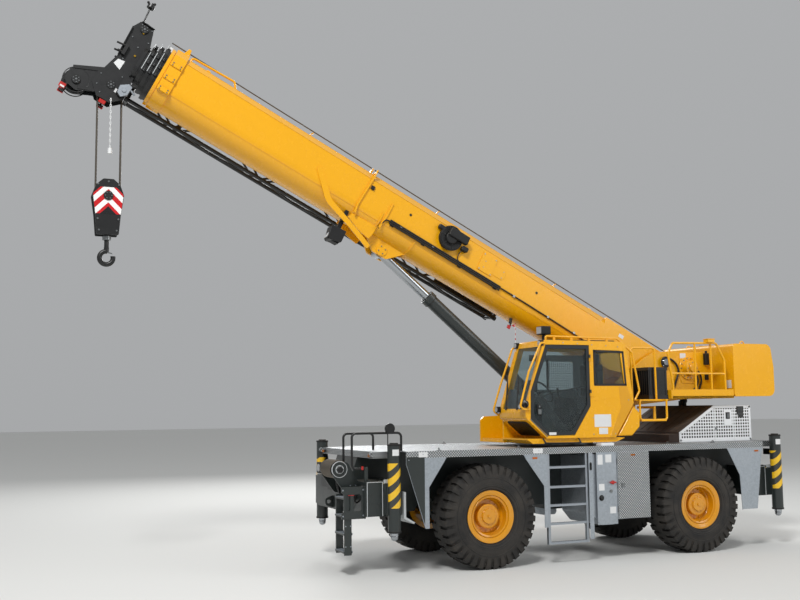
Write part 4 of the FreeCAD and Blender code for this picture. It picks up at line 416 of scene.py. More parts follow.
class Piece:
    """Collects shapes in a local frame, in millimetres, and becomes one object on one body."""

    def __init__(self, name, body, finish, space=HERE):
        self.name, self.body, self.finish, self.space = name, body, finish, space
        self.mesh = bmesh.new()

    def join(self, shape, matrix):
        """Takes over a shape that was made in a bmesh of its own."""
        bmesh.ops.transform(shape, matrix=matrix, verts=shape.verts)
        data = bpy.data.meshes.new("shape")
        shape.to_mesh(data)
        shape.free()
        self.mesh.from_mesh(data)
        bpy.data.meshes.remove(data)

    def box(self, x, y, z):
        middle = Vector([sum(pair) / 2 for pair in (x, y, z)])
        size = Matrix.Diagonal([pair[1] - pair[0] for pair in (x, y, z)] + [1])
        bmesh.ops.create_cube(self.mesh, size=1, matrix=Matrix.Translation(middle) @ size)

    def rod(self, start, stop, radius, sides=16, end=None, caps=True):
        """A round bar, or a cone where its end has another radius."""
        first, last = Vector(start), Vector(stop)
        place = Matrix.Translation((first + last) / 2) @ carried(last - first)
        bmesh.ops.create_cone(self.mesh, cap_ends=caps, cap_tris=False, segments=sides,
                              radius1=radius, radius2=radius if end is None else end,
                              depth=(last - first).length, matrix=place)

    def ball(self, middle, radius, sides):
        bmesh.ops.create_uvsphere(self.mesh, u_segments=sides, v_segments=sides // 2,
                                  radius=radius, matrix=Matrix.Translation(middle))

    def bolts(self, points, axis, radius=9, height=7):
        """Hexagon heads that stand on points."""
        for point in points:
            start = Vector(point)
            self.rod(start, start + Vector(axis).normalized() * height, radius, 6)

    def ring(self, middle, axis, radius, count, bolt=9, height=7, start=0.0):
        """A bolt circle."""
        place = Matrix.Translation(middle) @ carried(axis)
        angles = [start + 2 * math.pi * i / count for i in range(count)]
        self.bolts([place @ Vector((radius * math.cos(a), radius * math.sin(a), 0))
                    for a in angles], axis, bolt, height)

    def plate(self, outline, low, high, place=UPRIGHT, corner=0):
        """A flat plate: an outline, its corners rounded or not, extruded to its thickness."""
        shape = bmesh.new()
        shape.faces.new([shape.verts.new((a, b, low)) for a, b in outline])
        if corner:
            bmesh.ops.bevel(shape, geom=shape.verts[:], offset=corner, segments=6, profile=0.5,
                            affect="VERTICES", material=-1)
        raised = bmesh.ops.extrude_face_region(shape, geom=parts_of(shape))["geom"]
        raised = [item for item in raised if isinstance(item, bmesh.types.BMVert)]
        bmesh.ops.translate(shape, vec=(0, 0, high - low), verts=raised)
        self.join(shape, place)

    def border(self, outline, width, low, high):
        """Strips of one width just inside an outline that runs clockwise, one to an edge."""
        for first, second in zip(outline, outline[1:] + outline[:1]):
            a, b = Vector(first), Vector(second)
            ahead = (b - a).normalized() * width
            inner = Vector((ahead.y, -ahead.x))
            self.plate([a, b, b + inner - ahead * 0.3, a + inner + ahead * 0.3], low, high)

    def tube(self, points, radius):
        """A hose through points, which a smooth curve joins."""
        spots = [Vector(point) for point in points]
        spots = [2 * spots[0] - spots[1]] + spots + [2 * spots[-1] - spots[-2]]
        line = []
        for p0, p1, p2, p3 in zip(spots, spots[1:], spots[2:], spots[3:]):
            for t in (step / 6 for step in range(6)):
                line.append(0.5 * (2 * p1 + (p2 - p0) * t
                                   + (2 * p0 - 5 * p1 + 4 * p2 - p3) * t * t
                                   + (3 * p1 - p0 - 3 * p2 + p3) * t ** 3))
        line.append(spots[-2])
        self.sweep(line, radius, 10)

    def sweep(self, line, radius, sides):
        """A disc that is extruded from point to point, square to the line and without twist."""
        shape = bmesh.new()
        bmesh.ops.create_circle(shape, cap_ends=True, segments=sides, radius=radius)
        disc, = shape.faces
        before, side = HERE, Vector((0, 0, 1))
        for index, spot in enumerate(line):
            ahead = line[min(index + 1, len(line) - 1)] - line[max(index - 1, 0)]
            ahead.normalize()
            side = side - ahead * side.dot(ahead)
            side = side.normalized() if side.length > 1e-4 else ahead.orthogonal().normalized()
            here = Matrix((side.cross(ahead), side, ahead)).transposed().to_4x4()
            here.translation = spot
            if index:
                raised = bmesh.ops.extrude_face_region(
                    shape, geom=[disc] + disc.edges[:] + disc.verts[:])["geom"]
                disc = next(item for item in raised if isinstance(item, bmesh.types.BMFace))
            bmesh.ops.transform(shape, matrix=here @ before.inverted(), verts=disc.verts[:])
            before = here
        self.join(shape, HERE)

    def hoop(self, middle, axis, radius, thick, sides=48, section=8, stretch=HERE):
        """A ring of round section: a circle spun through a full turn."""
        shape = bmesh.new()
        upright = Matrix.Rotation(math.pi / 2, 4, "X") @ Matrix.Rotation(-math.pi / 2, 4, "Z")
        bmesh.ops.create_circle(shape, segments=section, radius=thick,
                                matrix=Matrix.Translation((radius, 0, 0)) @ upright)
        bmesh.ops.spin(shape, geom=parts_of(shape), axis=(0, 0, 1), angle=2 * math.pi,
                       steps=sides, use_merge=True)
        self.join(shape, Matrix.Translation(middle) @ stretch @ carried(axis))

    def link(self, middle, height, width, wire, turned):
        """A chain link: a ring stretched upwards, in one of two planes."""
        stretch = Matrix.Diagonal((1, 1, height / (width + wire), 1))
        turn = Matrix.Rotation(math.pi / 2 * turned, 4, "Z")
        self.hoop(middle, (1, 0, 0), width, wire, 20, 6, turn @ stretch)

    def strand(self, foot, rise, radius, wire, pitch, phase):
        """A strand of an upright rope: a thin tube that climbs round the rope's middle."""
        steps = int(rise / pitch * 8)
        line = []
        for share in (step / steps for step in range(steps + 1)):
            turn = phase + 2 * math.pi * share * rise / pitch
            line.append(Vector(foot) + Vector((radius * math.cos(turn), radius * math.sin(turn),
                                               rise * share)))
        self.sweep(line, wire, 5)

    def wrap(self, middle, radius, heights, angles):
        """A label 1.5 mm thick on an upright tube: its end face, spun round the tube."""
        low, high = heights
        shape = bmesh.new()
        shape.faces.new([shape.verts.new((r, 0, z)) for r, z in (
            (radius, low), (radius + 1.5, low), (radius + 1.5, high), (radius, high))])
        bmesh.ops.spin(shape, geom=parts_of(shape), axis=(0, 0, 1), steps=12,
                       angle=math.radians(angles[1] - angles[0]))
        turn = Matrix.Rotation(math.radians(angles[0]), 4, "Z")
        self.join(shape, Matrix.Translation((*middle, 0)) @ turn)

    def done(self, bevel=0):
        """Turns the faces outwards, breaks the sharp edges, and puts the piece on its body."""
        bmesh.ops.recalc_face_normals(self.mesh, faces=self.mesh.faces)
        if bevel:
            edges = [edge for edge in self.mesh.edges
                     if len(edge.link_faces) == 2 and edge.calc_face_angle(0) > 0.6]
            bmesh.ops.bevel(self.mesh, geom=edges, offset=bevel, segments=1, profile=0.5,
                            affect="EDGES", clamp_overlap=True, material=-1)
        bmesh.ops.transform(self.mesh, matrix=self.space @ Matrix.Scale(MM, 4),
                            verts=self.mesh.verts)
        for edge in self.mesh.edges:
            edge.smooth = edge.calc_face_angle(0) < math.radians(30)
        for face in self.mesh.faces:
            face.smooth = True
        data = bpy.data.meshes.new(self.name)
        self.mesh.to_mesh(data)
        self.mesh.free()
        data.materials.append(self.finish)
        made = bpy.data.objects.new(self.name, data)
        bpy.context.scene.collection.objects.link(made)
        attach(made, self.body)


# wheels: hub studs, cap screws, valve, rings of the rim and of the sidewall
for end_name, axle_x in (("front", -120), ("rear", -3910)):
    for side, tag in ((1, "left"), (-1, "right")):
        wheel = "wheel_%s_%s" % (end_name, tag)
        out = (0, side, 0)

        def hub(y, x=0, z=0):
            """A point of the wheel, y outwards from the middle of the tyre."""
            return (axle_x + x, side * (TRACK_HALF + y), WHEEL_HEIGHT + z)

        studs = Piece("hub_studs_%s_%s" % (end_name, tag), wheel, ORANGE)
        studs.ring(hub(56), out, 222, 16, 13, 15)
        studs.ring(hub(144), out, 148, 36, 6, 6)
        studs.ring(hub(146), out, 122, 12, 8, 8)
        studs.ring(hub(170), out, 84, 8, 7, 6, 0.2)
        studs.rod(hub(170), hub(190), 24, 20)
        studs.done()
        lock = Piece("rim_lock_ring_%s_%s" % (end_name, tag), wheel, ORANGE)
        lock.hoop(hub(205), out, 372, 7)
        lock.hoop(hub(196), out, 292, 6)
        lock.done()
        valve = Piece("valve_%s_%s" % (end_name, tag), wheel, STEEL)
        valve.rod(hub(66, 236, 120), hub(112, 222, 112), 6, 10)
        valve.rod(hub(112, 222, 112), hub(128, 217, 109), 9, 10)
        valve.done()
        walls = Piece("sidewall_ribs_%s_%s" % (end_name, tag), wheel, RUBBER_DARK)
        for radius, y, thick in ((409, 242, 5), (446, 254, 4), (470, 257, 3), (560, 257, 4)):
            walls.hoop(hub(y), out, radius, thick)
        walls.done()

# both sides of the carrier: panels, hinges, bolts, labels, caps, ladder teeth, sheets
for side, tag in ((1, "left"), (-1, "right")):
    skirt, panel = SKIRT * side, PANEL * side
    cover = Piece("side_panel_%s" % tag, "carrier", GALVANISED)
    cover.box((-1860, -1785), span(side, SKIRT, PANEL), (340, 1625))
    cover.box((-2290, -1925), span(side, SKIRT, PANEL), (540, 1625))
    cover.done(2)
    tread = Piece("tread_panel_%s" % tag, "carrier", TREAD)
    tread.plate([(-2310, 1622), (-2310, 612), (-2897, 612), (-2897, 1622)],
                *span(side, SKIRT, PANEL))
    tread.done(2)
    hinge = Piece("panel_hinges_%s" % tag, "carrier", STEEL)
    for z in (760, 1120, 1480):
        hinge.rod((-2300, 1318 * side, z - 45), (-2300, 1318 * side, z + 45), 9, 10)
    hinge.box((-2440, -2370), span(side, PANEL, PANEL + 8), (1085, 1150))
    hinge.rod((-2405, panel, 1118), (-2405, panel + 14 * side, 1118), 22, 20)
    hinge.rod((-2178, panel, 1036), (-2178, panel + 10 * side, 1036), 26, 20)
    hinge.done()
    seam = Piece("skirt_bolts_%s" % tag, "carrier", ZINC)
    row = [(x, skirt, 1676) for x in range(-5120, 1200, 210)]
    row += [(x, skirt, z) for x in (-2330, -2875) for z in (650, 950, 1250, 1580)]
    row += [(x, panel, z) for x in (-2270, -1945) for z in (580, 900, 1230, 1590)]
    row += [(x, skirt, z) for x, z in ((1190, 1600), (905, 680), (905, 1150), (-690, 1600),
                                       (-1030, 640), (-1030, 1150), (-4720, 1150),
                                       (-5140, 1500))]
    seam.bolts(row, (0, side, 0), 9, 6)
    seam.done()
    blank = Piece("side_labels_%s" % tag, "carrier", LABEL)
    for x, z in (((-987, -820), (1640, 1712)), ((-2040, -1950), (1440, 1590)),
                 ((-2200, -2090), (1470, 1590)), ((-2060, -1960), (1050, 1150)),
                 ((-2260, -2150), (700, 800)), ((900, 1040), (1635, 1705))):
        blank.box(x, span(side, PANEL, PANEL + 1), z)
    blank.done()
    hole = Piece("panel_recess_%s" % tag, "carrier", BLACK)
    hole.rod((-2002, panel, 939), (-2002, panel + 3 * side, 939), 44, 28)
    hole.rod((-1822, panel, 1380), (-1822, panel + 2 * side, 1380), 20, 20)
    hole.rod((-1822, panel, 1460), (-1822, panel + 2 * side, 1460), 20, 20)
    hole.box((-1842, -1802), span(side, PANEL, PANEL + 2), (1380, 1460))
    hole.done()
    cap = Piece("filler_cap_%s" % tag, "carrier", DARK)
    cap.rod((-2002, panel, 939), (-2002, panel + 24 * side, 939), 34, 24, 28)
    cap.done(2)
    grip = Piece("isolator_handle_%s" % tag, "carrier", RED)
    grip.rod((-2210, panel, 1165), (-2210, panel + 18 * side, 1165), 30, 20)
    grip.box((-2265, -2150), span(side, PANEL + 14, PANEL + 26), (1154, 1178))
    grip.done(3)
    teeth = Piece("rung_teeth_%s" % tag, "carrier", GALVANISED)
    for z in (1420, 1130, 860, 590, 310):
        for x in range(-1740, -1100, 32):
            teeth.box((x, x + 16), span(side, 1240, 1288), (z + 14, z + 21))
    teeth.done()
    sheet = Piece("rear_side_sheet_%s" % tag, "carrier", GALVANISED)
    sheet.plate([(-4735, 1640), (-4742, 640), (-5045, 640), (-5190, 1640)],
                *span(side, 1286, 1296))
    sheet.done(2)
    oval = Piece("rear_sheet_oval_%s" % tag, "carrier", BLACK)
    oval.rod((-4900, 1296 * side, 1160), (-4900, 1299 * side, 1160), 62, 28)
    oval.rod((-4906, 1296 * side, 1320), (-4906, 1299 * side, 1320), 62, 28)
    oval.plate([(-4838, 1160), (-4962, 1160), (-4968, 1320), (-4844, 1320)],
               *span(side, 1297, 1299))
    oval.done()
    # a dark grey-green plate over the front gusset of the skirt: painted shade, for the shadow of
    # the jack and its beam there
    sheet = Piece("front_painted_shade_sheet_%s" % tag, "carrier", GREY_GREEN)
    sheet.plate([(944, 1640), (1226, 1640), (1226, 1545), (950, 690)],
                *span(side, SKIRT, SKIRT + 3))
    sheet.done(1)
    # a pale grey plate low on the dark front sheet: a painted reflection
    reflection_plate = Piece("painted_reflection_plate_%s" % tag, "carrier", PALE)
    reflection_plate.plate([(1215, 1150), (1215, 780), (1060, 700), (1040, 720), (1180, 800),
                  (1180, 1150)], *span(side, 700, 1180))
    reflection_plate.done(3)

# deck: step box and tie rings
deck_box = Piece("deck_step_box", "carrier", WHITE)
deck_box.box((-2281, -2045), (1140, 1290), (DECK, DECK + 44))
deck_box.done(4)
lugs = Piece("deck_tie_rings", "carrier", STEEL)
for x in (-4200, -3300, -600, 700):
    for side in (1, -1):
        lugs.box((x - 34, x + 34), (side * 1268 - 18, side * 1268 + 18), (DECK, DECK + 8))
        lugs.hoop((x, side * 1268, 1738), (1, 0, 0), 20, 6)
lugs.done()

# cab: gaskets, panels, door fittings, chin, wipers, lamps, trim, aerial, mirror
gasket = Piece("window_gasket", "superstructure", HOSE)
REAR_WINDOW = [(-1996, 3194), (-1996, 2640), (-2598, 2640), (-2556, 3184)]
gasket.border(REAR_WINDOW, 34, 1212, 1226)
gasket.done(3)
below = Piece("side_window_panel", "superstructure", YELLOW)
below.plate([(-1975, 2655), (-1975, 2405), (-2600, 2480), (-2606, 2655)], 1196, 1222)
below.done(3)
# a darker yellow plate over the cab's rear corner: painted shade where the lower panel bends
# inwards
shade = Piece("cab_rear_corner_panel", "superstructure", YELLOW_PAINTED_SHADE)
shade.plate([(-2600, 2640), (-2439, 2640), (-2477, 2307), (-2263, 1866), (-2378, 1866),
             (-2706, 2368)], 1216, 1224)
shade.done(3)
fender = Piece("cab_rear_fender", "superstructure", YELLOW)
fender.plate([(-2726, 2330), (-2860, 2217), (-2851, 1999), (-2700, 1862), (-2420, 1862),
              (-2540, 2030)], 1040, 1190)
fender.done(16)
trim = Piece("door_diagonal_bar", "cab_door", BLACK)
trim.plate([(-900, 2560), (-905, 2440), (-1009, 2400), (-1380, 1925), (-1560, 1925),
            (-1162, 2402)], 1162, 1182)
trim.box((-1029, -957), (1221, 1246), (2195, 2362))
trim.done(5)
pull = Piece("door_pull_rail", "cab_door", BLACK)
pull.tube([(-936, 1172, 2471), (-1111, 1160, 2487), (-1348, 1160, 2553), (-1860, 1172, 2628)], 11)
pull.done()
pull = Piece("door_lock", "cab_door", STEEL)
pull.rod((-993, 1246, 2330), (-993, 1252, 2330), 14, 16)
pull.box((-1020, -966), (1246, 1256), (2215, 2290))
pull.done(3)
sill = Piece("cab_foot_rail", "superstructure", BLACK)
sill.tube([(-1074, 1190, 1850), (-1080, 1246, 1800), (-1120, 1250, 1784), (-1650, 1250, 1778),
           (-1692, 1246, 1800), (-1699, 1190, 1850)], 12)
sill.done()
edge = Piece("door_sill_strip", "superstructure", STEEL)
edge.plate([(-838, 2140), (-1128, 1874), (-1140, 1880), (-848, 2150)], 1218, 1228)
edge.done(1)
labels = Piece("cab_labels", "superstructure", LABEL)
for x, z in (((-2285, -1980), (2009, 2201)), ((-2220, -2060), (1899, 1996))):
    labels.box(x, (DOOR_SIDE, DOOR_SIDE + 2), z)
labels.done()
labels = Piece("door_label", "cab_door", LABEL)
labels.box((-1290, -1165), (1219, 1222), (1902, 1942))
labels.done()
grille = Piece("chin_grille", "superstructure", BLACK, CHIN)
grille.plate([(60, 520), (400, 520), (400, 1130), (60, 1130)], -7, 0, HERE, 60)
grille.done(2)
slats = Piece("chin_slats", "superstructure", DARK, CHIN)
for y in range(548, 1085, 22):
    slats.box((84, 376), (y, y + 8), (-13, -6))
slats.done()
screen = Piece("wipers", "superstructure", BLACK)
for y in (640, 980):
    screen.rod((-745, y, 2290), (-770, y, 2310), 14, 12)
    screen.rod((-752, y, 2312), (-872, y - 150, 2700), 7, 8)
    screen.rod((-828, y - 60, 2520), (-920, y - 230, 2830), 9, 8)
screen.done()
lamps = Piece("cab_lamp_housings", "superstructure", BLACK)
glow = Piece("cab_lamp_lenses", "superstructure", LENS)
for x, y, z, size in ((-700, 430, 2290, 46), (-690, 1180, 2330, 40), (-1050, 1180, 3290, 44),
                      (-1050, 450, 3290, 44)):
    lamps.box((x - 60, x), (y - size, y + size), (z - size, z + size))
    glow.rod((x, y, z), (x + 8, y, z), size * 0.82, 24)
lamps.done(6)
glow.done()
lamp = Piece("roof_flood_lamp", "superstructure", BLACK)
lamp.box((-1450, -1280), (720, 890), (3450, 3580))
lamp.box((-1400, -1340), (780, 830), (3338, 3452))
lamp.done(10)
glass = Piece("roof_flood_lens", "superstructure", LENS)
glass.box((-1281, -1276), (735, 875), (3462, 3568))
glass.done(2)
lamp = Piece("roof_rail_lugs", "superstructure", YELLOW)
for x in (-1330, -1640, -1960, -2290):
    lamp.box((x - 22, x + 22), (1150, 1168), (3330, 3392))
lamp.done(3)
slot = Piece("roof_edge_trim", "superstructure", BLACK)
slot.box((-2440, -1230), (1130, 1152), (3338, 3352))
slot.done(2)
rivets = Piece("cab_rivets", "superstructure", ZINC)
rivets.bolts([(x, DOOR_SIDE, z) for x, z in (
    (-1450, 3300), (-1710, 3288), (-1970, 3276), (-2230, 3264), (-2450, 3252),
    (-1960, 1900), (-1960, 2150), (-2360, 1900))], (0, 1, 0), 9, 5)
rivets.bolts([(-2620, 1224, 2420)], (0, 1, 0), 9, 5)
rivets.done()
mast = Piece("cab_whip", "superstructure", LABEL)
mast.rod((-1062, 450, 3200), (-1056, 450, 3640), 5, 8)
mast.done()
mast = Piece("cab_whip_bands", "superstructure", RED)
for z in range(3300, 3640, 80):
    mast.rod((-1061, 450, z), (-1060, 450, z + 34), 7, 8)
mast.plate([(-1056, 3640), (-990, 3612), (-1056, 3585)], 448, 452)
mast.done()
round_mirror = Piece("cab_mirror", "superstructure", BLACK)
round_mirror.rod((-742, 1262, 2372), (-775, 1262, 2380), 62, 24, 40)
round_mirror.rod((-760, 1244, 2372), (-760, 1262, 2372), 10, 10)
round_mirror.done(4)
face = Piece("cab_mirror_glass", "superstructure", REFLECTOR)
face.rod((-741, 1262, 2372), (-738, 1262, 2371), 55, 24)
face.done()

# inside the cab: liner round the far window, roof lining, mesh, posts, screen, seat bolsters
liner = Piece("cab_liner", "superstructure", INNER)
liner.plate([(-2500, 3150), (-2500, 2600), (-2110, 2600), (-2110, 3150)], 446, 452)
liner.plate([(-2112, 3150), (-2112, 3048), (-1300, 3048), (-1300, 3150)], 446, 452)
liner.plate([(-2560, 2600), (-2560, 1900), (-1150, 1900), (-830, 2160), (-830, 2400),
             (-900, 2600)], 446, 452)
liner.box((-2540, -1180), (470, 1150), (3262, 3268))
liner.box((-2560, -2552), (470, 1150), (1900, 2450))
liner.done(2)
net = Piece("window_mesh", "superstructure", DARK)
for x in range(-2100, -1640, 38):
    net.rod((x, 440, 2610), (x, 440, 3045), 3, 6)
for z in range(2630, 3040, 38):
    net.rod((-2100, 440, z), (-1650, 440, z), 3, 6)
net.done()
post = Piece("cab_inner_posts", "superstructure", BLACK)
post.box((-1650, -1615), (440, 470), (2600, 3080))
post.rod((-1330, 640, 2780), (-1010, 640, 2440), 9, 8)
post.box((-1150, -1120), (700, 940), (2560, 2740))
post.done(4)
seat = Piece("seat_trim", "superstructure", SEAT)
seat.box((-2270, -2160), (640, 1000), (2985, 3160))
seat.box((-2288, -2148), (585, 640), (2330, 2900))
seat.box((-2288, -2148), (1000, 1055), (2330, 2900))
seat.done(22)

# superstructure: foot pin, winch motor and lines, valves, cooler, counterweight, walkways
pin_end = Piece("foot_pin_cap", "boom_foot_pin", BLACK)
pin_end.rod((-3970, 440, 3060), (-3970, 448, 3060), 96, 40)
pin_end.rod((-3970, -448, 3060), (-3970, -440, 3060), 96, 40)
pin_end.done(3)
pin_end = Piece("foot_pin_face", "boom_foot_pin", CHROME)
pin_end.rod((-3970, 448, 3060), (-3970, 462, 3060), 56, 36)
pin_end.ring((-3970, 448, 3060), (0, 1, 0), 78, 6, 8, 8)
pin_end.rod((-3970, -462, 3060), (-3970, -448, 3060), 56, 36)
pin_end.done(3)
lines = Piece("winch_supply_lines", "superstructure", HOSE)
lines.tube([(-4060, 402, 3120), (-4116, 424, 3100), (-4205, 430, 3020), (-4240, 430, 2900),
            (-4190, 424, 2740), (-4152, 404, 2620)], 17)
lines.tube([(-4640, 402, 2940), (-4700, 430, 2860), (-4720, 430, 2740), (-4690, 404, 2600)], 15)
lines.tube([(-4600, 402, 2890), (-4640, 440, 2780), (-4620, 430, 2660), (-4560, 404, 2580)], 15)
lines.done()
motor = Piece("hoist_motor", "superstructure", YELLOW)
motor.rod((-4470, 400, 2960), (-4470, 430, 2960), 200, 40)
motor.rod((-4470, 430, 2960), (-4470, 520, 2960), 138, 40, 124)
motor.rod((-4470, 520, 2960), (-4470, 556, 2960), 70, 28)
motor.box((-4560, -4500), (402, 500), (3050, 3130))
motor.plate([(-4290, 3230), (-4290, 2790), (-4330, 2700), (-4640, 2700), (-4743, 2830),
             (-4743, 3236)], 400, 408)
motor.done(5)
motor = Piece("hoist_motor_bolts", "superstructure", STEEL)
motor.ring((-4470, 430, 2960), (0, 1, 0), 170, 14, 11, 10)
motor.ring((-4470, 520, 2960), (0, 1, 0), 96, 8, 9, 8)
motor.done()
valve = Piece("valve_block", "superstructure", BLACK)
valve.box((-4880, -4800), (402, 470), (3020, 3220))
valve.box((-4870, -4815), (402, 450), (2760, 2880))
valve.rod((-4840, 436, 3220), (-4840, 436, 3262), 22, 16)
valve.done(5)
cooler = Piece("cooler_louvres", "superstructure", DARK)
for z in range(2512, 2900, 24):
    cooler.box((-3596, -3304), (880, 897), (z, z + 9))
cooler.box((-3612, -3592), (876, 900), (2482, 2928))
cooler.box((-3308, -3288), (876, 900), (2482, 2928))
cooler.done(1)
blank = Piece("tail_labels", "superstructure", LABEL)
blank.box((-4980, -4977), (720, 880), (2610, 2745))
blank.box((-4420, -4300), (408, 410), (3130, 3215))
blank.done()
box = Piece("rail_document_box", "superstructure", YELLOW)
box.box((-4560, -4420), (880, 1000), (3366, 3420))
box.box((-4566, -4414), (874, 1006), (3420, 3432))
box.done(4)
weight = Piece("weight_details", "superstructure", YELLOW)
for y in (-700, 700):
    weight.hoop((-5400, y, 3372), (0, 1, 0), 44, 12)
weight.box((-5350, -5050), (-300, 300), (3354, 3370))
weight.done(3)
seam = Piece("weight_bolts", "superstructure", ZINC)
seam.bolts([(x, y, 3370) for x in (-5310, -5090) for y in (-240, 0, 240)], (0, 0, 1), 22, 16)
seam.done()
plates = Piece("turret_side_details", "superstructure", YELLOW)
for side in (1, -1):
    low, high = span(side, TURRET_SIDE, TURRET_SIDE + 16)
    plates.box((-3700, -3100), (low, high), (2690, 2712))
    plates.box((-2850, -2832), (low, high), (1990, 2480))
    plates.box((-3300, -3282), (low, high), (2360, 2690))
    for x, z in ((-2550, 2080), (-3060, 2520), (-3450, 2720)):
        plates.ring((x, TURRET_SIDE * side, z), (0, side, 0), 60, 6, 12, 12)
plates.done(2)
toe = Piece("walkway_toe_board", "superstructure", YELLOW)
for side in (1, -1):
    low, high = span(side, 938, 950)
    toe.box((-4960, -3690), (low, high), (2440, 2586))
toe.done(2)
grating = Piece("walkway_grating", "superstructure", TREAD)
for side in (1, -1):
    low, high = span(side, 410, 936)
    grating.box((-4950, -3710), (low, high), (2480, 2484))
grating.box((-3430, -2970), (834, 1090), (2105, 2110))
grating.done()

# engine hood: perforated side sheets, frame strips, dark front, outlet
HOOD_OUTLINE = [(-5424, 1724), (-5424, 2316), (-4634, 2316), (-3910, 1884), (-3910, 1724)]
for side, tag in ((1, "left"), (-1, "right")):
    low, high = span(side, HOOD_SIDE, HOOD_SIDE + 3)
    sheet = Piece("hood_perforated_%s" % tag, "carrier", PERFORATED)
    sheet.plate(HOOD_OUTLINE, low, high)
    sheet.done()
    strip = Piece("hood_strips_%s" % tag, "carrier", WHITE)
    low, high = span(side, HOOD_SIDE, HOOD_SIDE + 9)
    strip.border(HOOD_OUTLINE, 44, low, high)
    for x in (-4650, -5060):
        strip.box((x, x + 10), (low, high), (1730, 2300))
    strip.box((-5013, -4850), span(side, 803, 811), (1978, 2241))
    strip.done(2)
    dark = Piece("hood_recess_%s" % tag, "carrier", BLACK)
    dark.box((-4972, -4883), span(side, 810, 813), (2091, 2204))
    dark.plate([(-5272, 2303), (-5115, 2303), (-5132, 2173), (-5190, 2108), (-5260, 2115)],
               *span(side, 803, 812))
    dark.done(2)
    latch = Piece("hood_latch_%s" % tag, "carrier", STEEL)
    latch.box((-4945, -4910), span(side, 811, 824), (2110, 2185))
    latch.rod((-4668, 806 * side, 1937), (-4668, 818 * side, 1937), 24, 24)
    for z in range(2130, 2300, 22):
        latch.box((-5255, -5140), span(side, 812, 816), (z, z + 8))
    latch.done(2)
front = Piece("hood_front_sheet", "carrier", BROWN)
front.plate([(-3900, 1722), (-3900, 1892), (-4628, 2326), (-4632, 2318), (-3912, 1882),
             (-3912, 1722)], -796, 796)
front.plate([(-3705, 1722), (-3705, 1850), (-3912, 1862), (-3912, 1722)], -790, 790)
for y in range(-700, 701, 200):
    front.plate([(-3930, 1908), (-4610, 2313), (-4612, 2322), (-3932, 1918)], y, y + 30)
front.done(3)
top = Piece("hood_outlet", "carrier", BLACK)
top.rod((-4980, -420, 2300), (-4980, -420, 2410), 70, 28)
top.rod((-4980, -420, 2410), (-5040, -420, 2430), 72, 28, 60)
for y in range(-560, 640, 60):
    if abs(y + 420) > 90:
        top.box((-5330, -4760), (y, y + 20), (2312, 2318))
top.done(2)
back = Piece("hood_rear_louvres", "carrier", DARK)
for z in range(1790, 2240, 40):
    back.box((-5432, -5420), (-640, 640), (z, z + 16))
back.done(2)

# outriggers: jack bands, caps, labels, brackets, lines, edges of the beams and their lids
JACKS = {"front_left": (1370, 1), "front_right": (1610, -1), "rear_left": (-5560, 1),
         "rear_right": (-5320, -1)}
for tag, (x, side) in JACKS.items():
    body, y = "outrigger_" + tag, JACK_SIDE * side
    bands = Piece("jack_bands_" + tag, body, JACK_BANDS)
    bands.rod((x, y, 940), (x, y, 1560), 91.5, 40, caps=False)
    bands.done()
    cap = Piece("jack_cap_" + tag, body, BLACK)
    cap.rod((x, y, 1800), (x, y, 1826), 96, 40)
    cap.rod((x, y, 1826), (x, y, 1842), 60, 32)
    cap.rod((x, y, 596), (x, y, 622), 97, 40)
    cap.done(4)
    label = Piece("jack_label_" + tag, body, LABEL)
    label.wrap((x, y), 92, (1665, 1752), (55, 118) if side > 0 else (242, 305))
    label.done()
    bracket = Piece("jack_bracket_" + tag, body, PALE)
    bracket.box((x - 118, x + 118), span(side, 1096, 1110), (1270, 1330))
    bracket.done(4)
    line = Piece("jack_line_" + tag, body, HOSE)
    line.tube([(x - 60, side * 1090, 1290), (x - 70, side * 1105, 1430),
               (x - 62, side * 1120, 1560), (x - 50, side * 1130, 1640)], 11)
    line.done()
    marks = Piece("beam_edges_" + tag, body, LABEL_YELLOW)
    marks.box((x - 111, x + 111), span(side, 1064, 1096), (1270, 1281))
    marks.done()
lid = Piece("beam_lid_edges", "carrier", PALE)
for x, side in ((1370, -1), (1610, 1), (-5560, -1), (-5320, 1)):
    y = span(side, 1069, 1080)
    lid.box((x - 121, x + 121), y, (1290, 1300))
    lid.box((x - 121, x - 111), y, (824, 1296))
    lid.box((x + 111, x + 121), y, (824, 1296))
lid.done(2)
lid = Piece("beam_lid_faces", "carrier", GREY_GREEN)
for x, side in ((1370, -1), (1610, 1), (-5560, -1), (-5320, 1)):
    lid.ring((x, side * 1070, 1060), (0, side, 0), 88, 4, 10, 8, math.pi / 4)
lid.done()

# front end: winch, bolts, step gratings, lines, valves, lamps; rear lamps and hitch
rope = Piece("front_winch_wraps", "carrier", ROPE)
for index in range(22):
    rope.hoop((2020, 300 + index * 19, 1470), (0, 1, 0), 124, 8.5)
rope.done()
rim = Piece("front_winch_rim", "carrier", PALE)
for y in (741, 758):
    rim.hoop((2020, y, 1470), (0, 1, 0), 112, 5)
rim.rod((2020, 756, 1470), (2020, 764, 1470), 62, 32)
rim.done()
hub = Piece("front_winch_case", "carrier", DARK)
hub.rod((2020, 764, 1470), (2020, 800, 1470), 48, 28, 40)
hub.rod((2020, 190, 1470), (2020, 250, 1470), 110, 32)
hub.rod((2020, 120, 1470), (2020, 190, 1470), 62, 24)
hub.ring((2020, 764, 1470), (0, 1, 0), 54, 6, 7, 6)
hub.done(4)
bolts = Piece("front_bolts", "carrier", ZINC)
bolts.bolts([(x, 1012, z) for x in (1765, 2066) for z in (840, 1195)], (0, 1, 0), 12, 9)
bolts.bolts([(x, 990, z) for x in (1946, 2019) for z in (420, 700, 930)], (0, 1, 0), 9, 7)
bolts.bolts([(x, 756, z) for x in (1780, 1860) for z in (1240, 1150)], (0, 1, 0), 10, 8)
bolts.done()
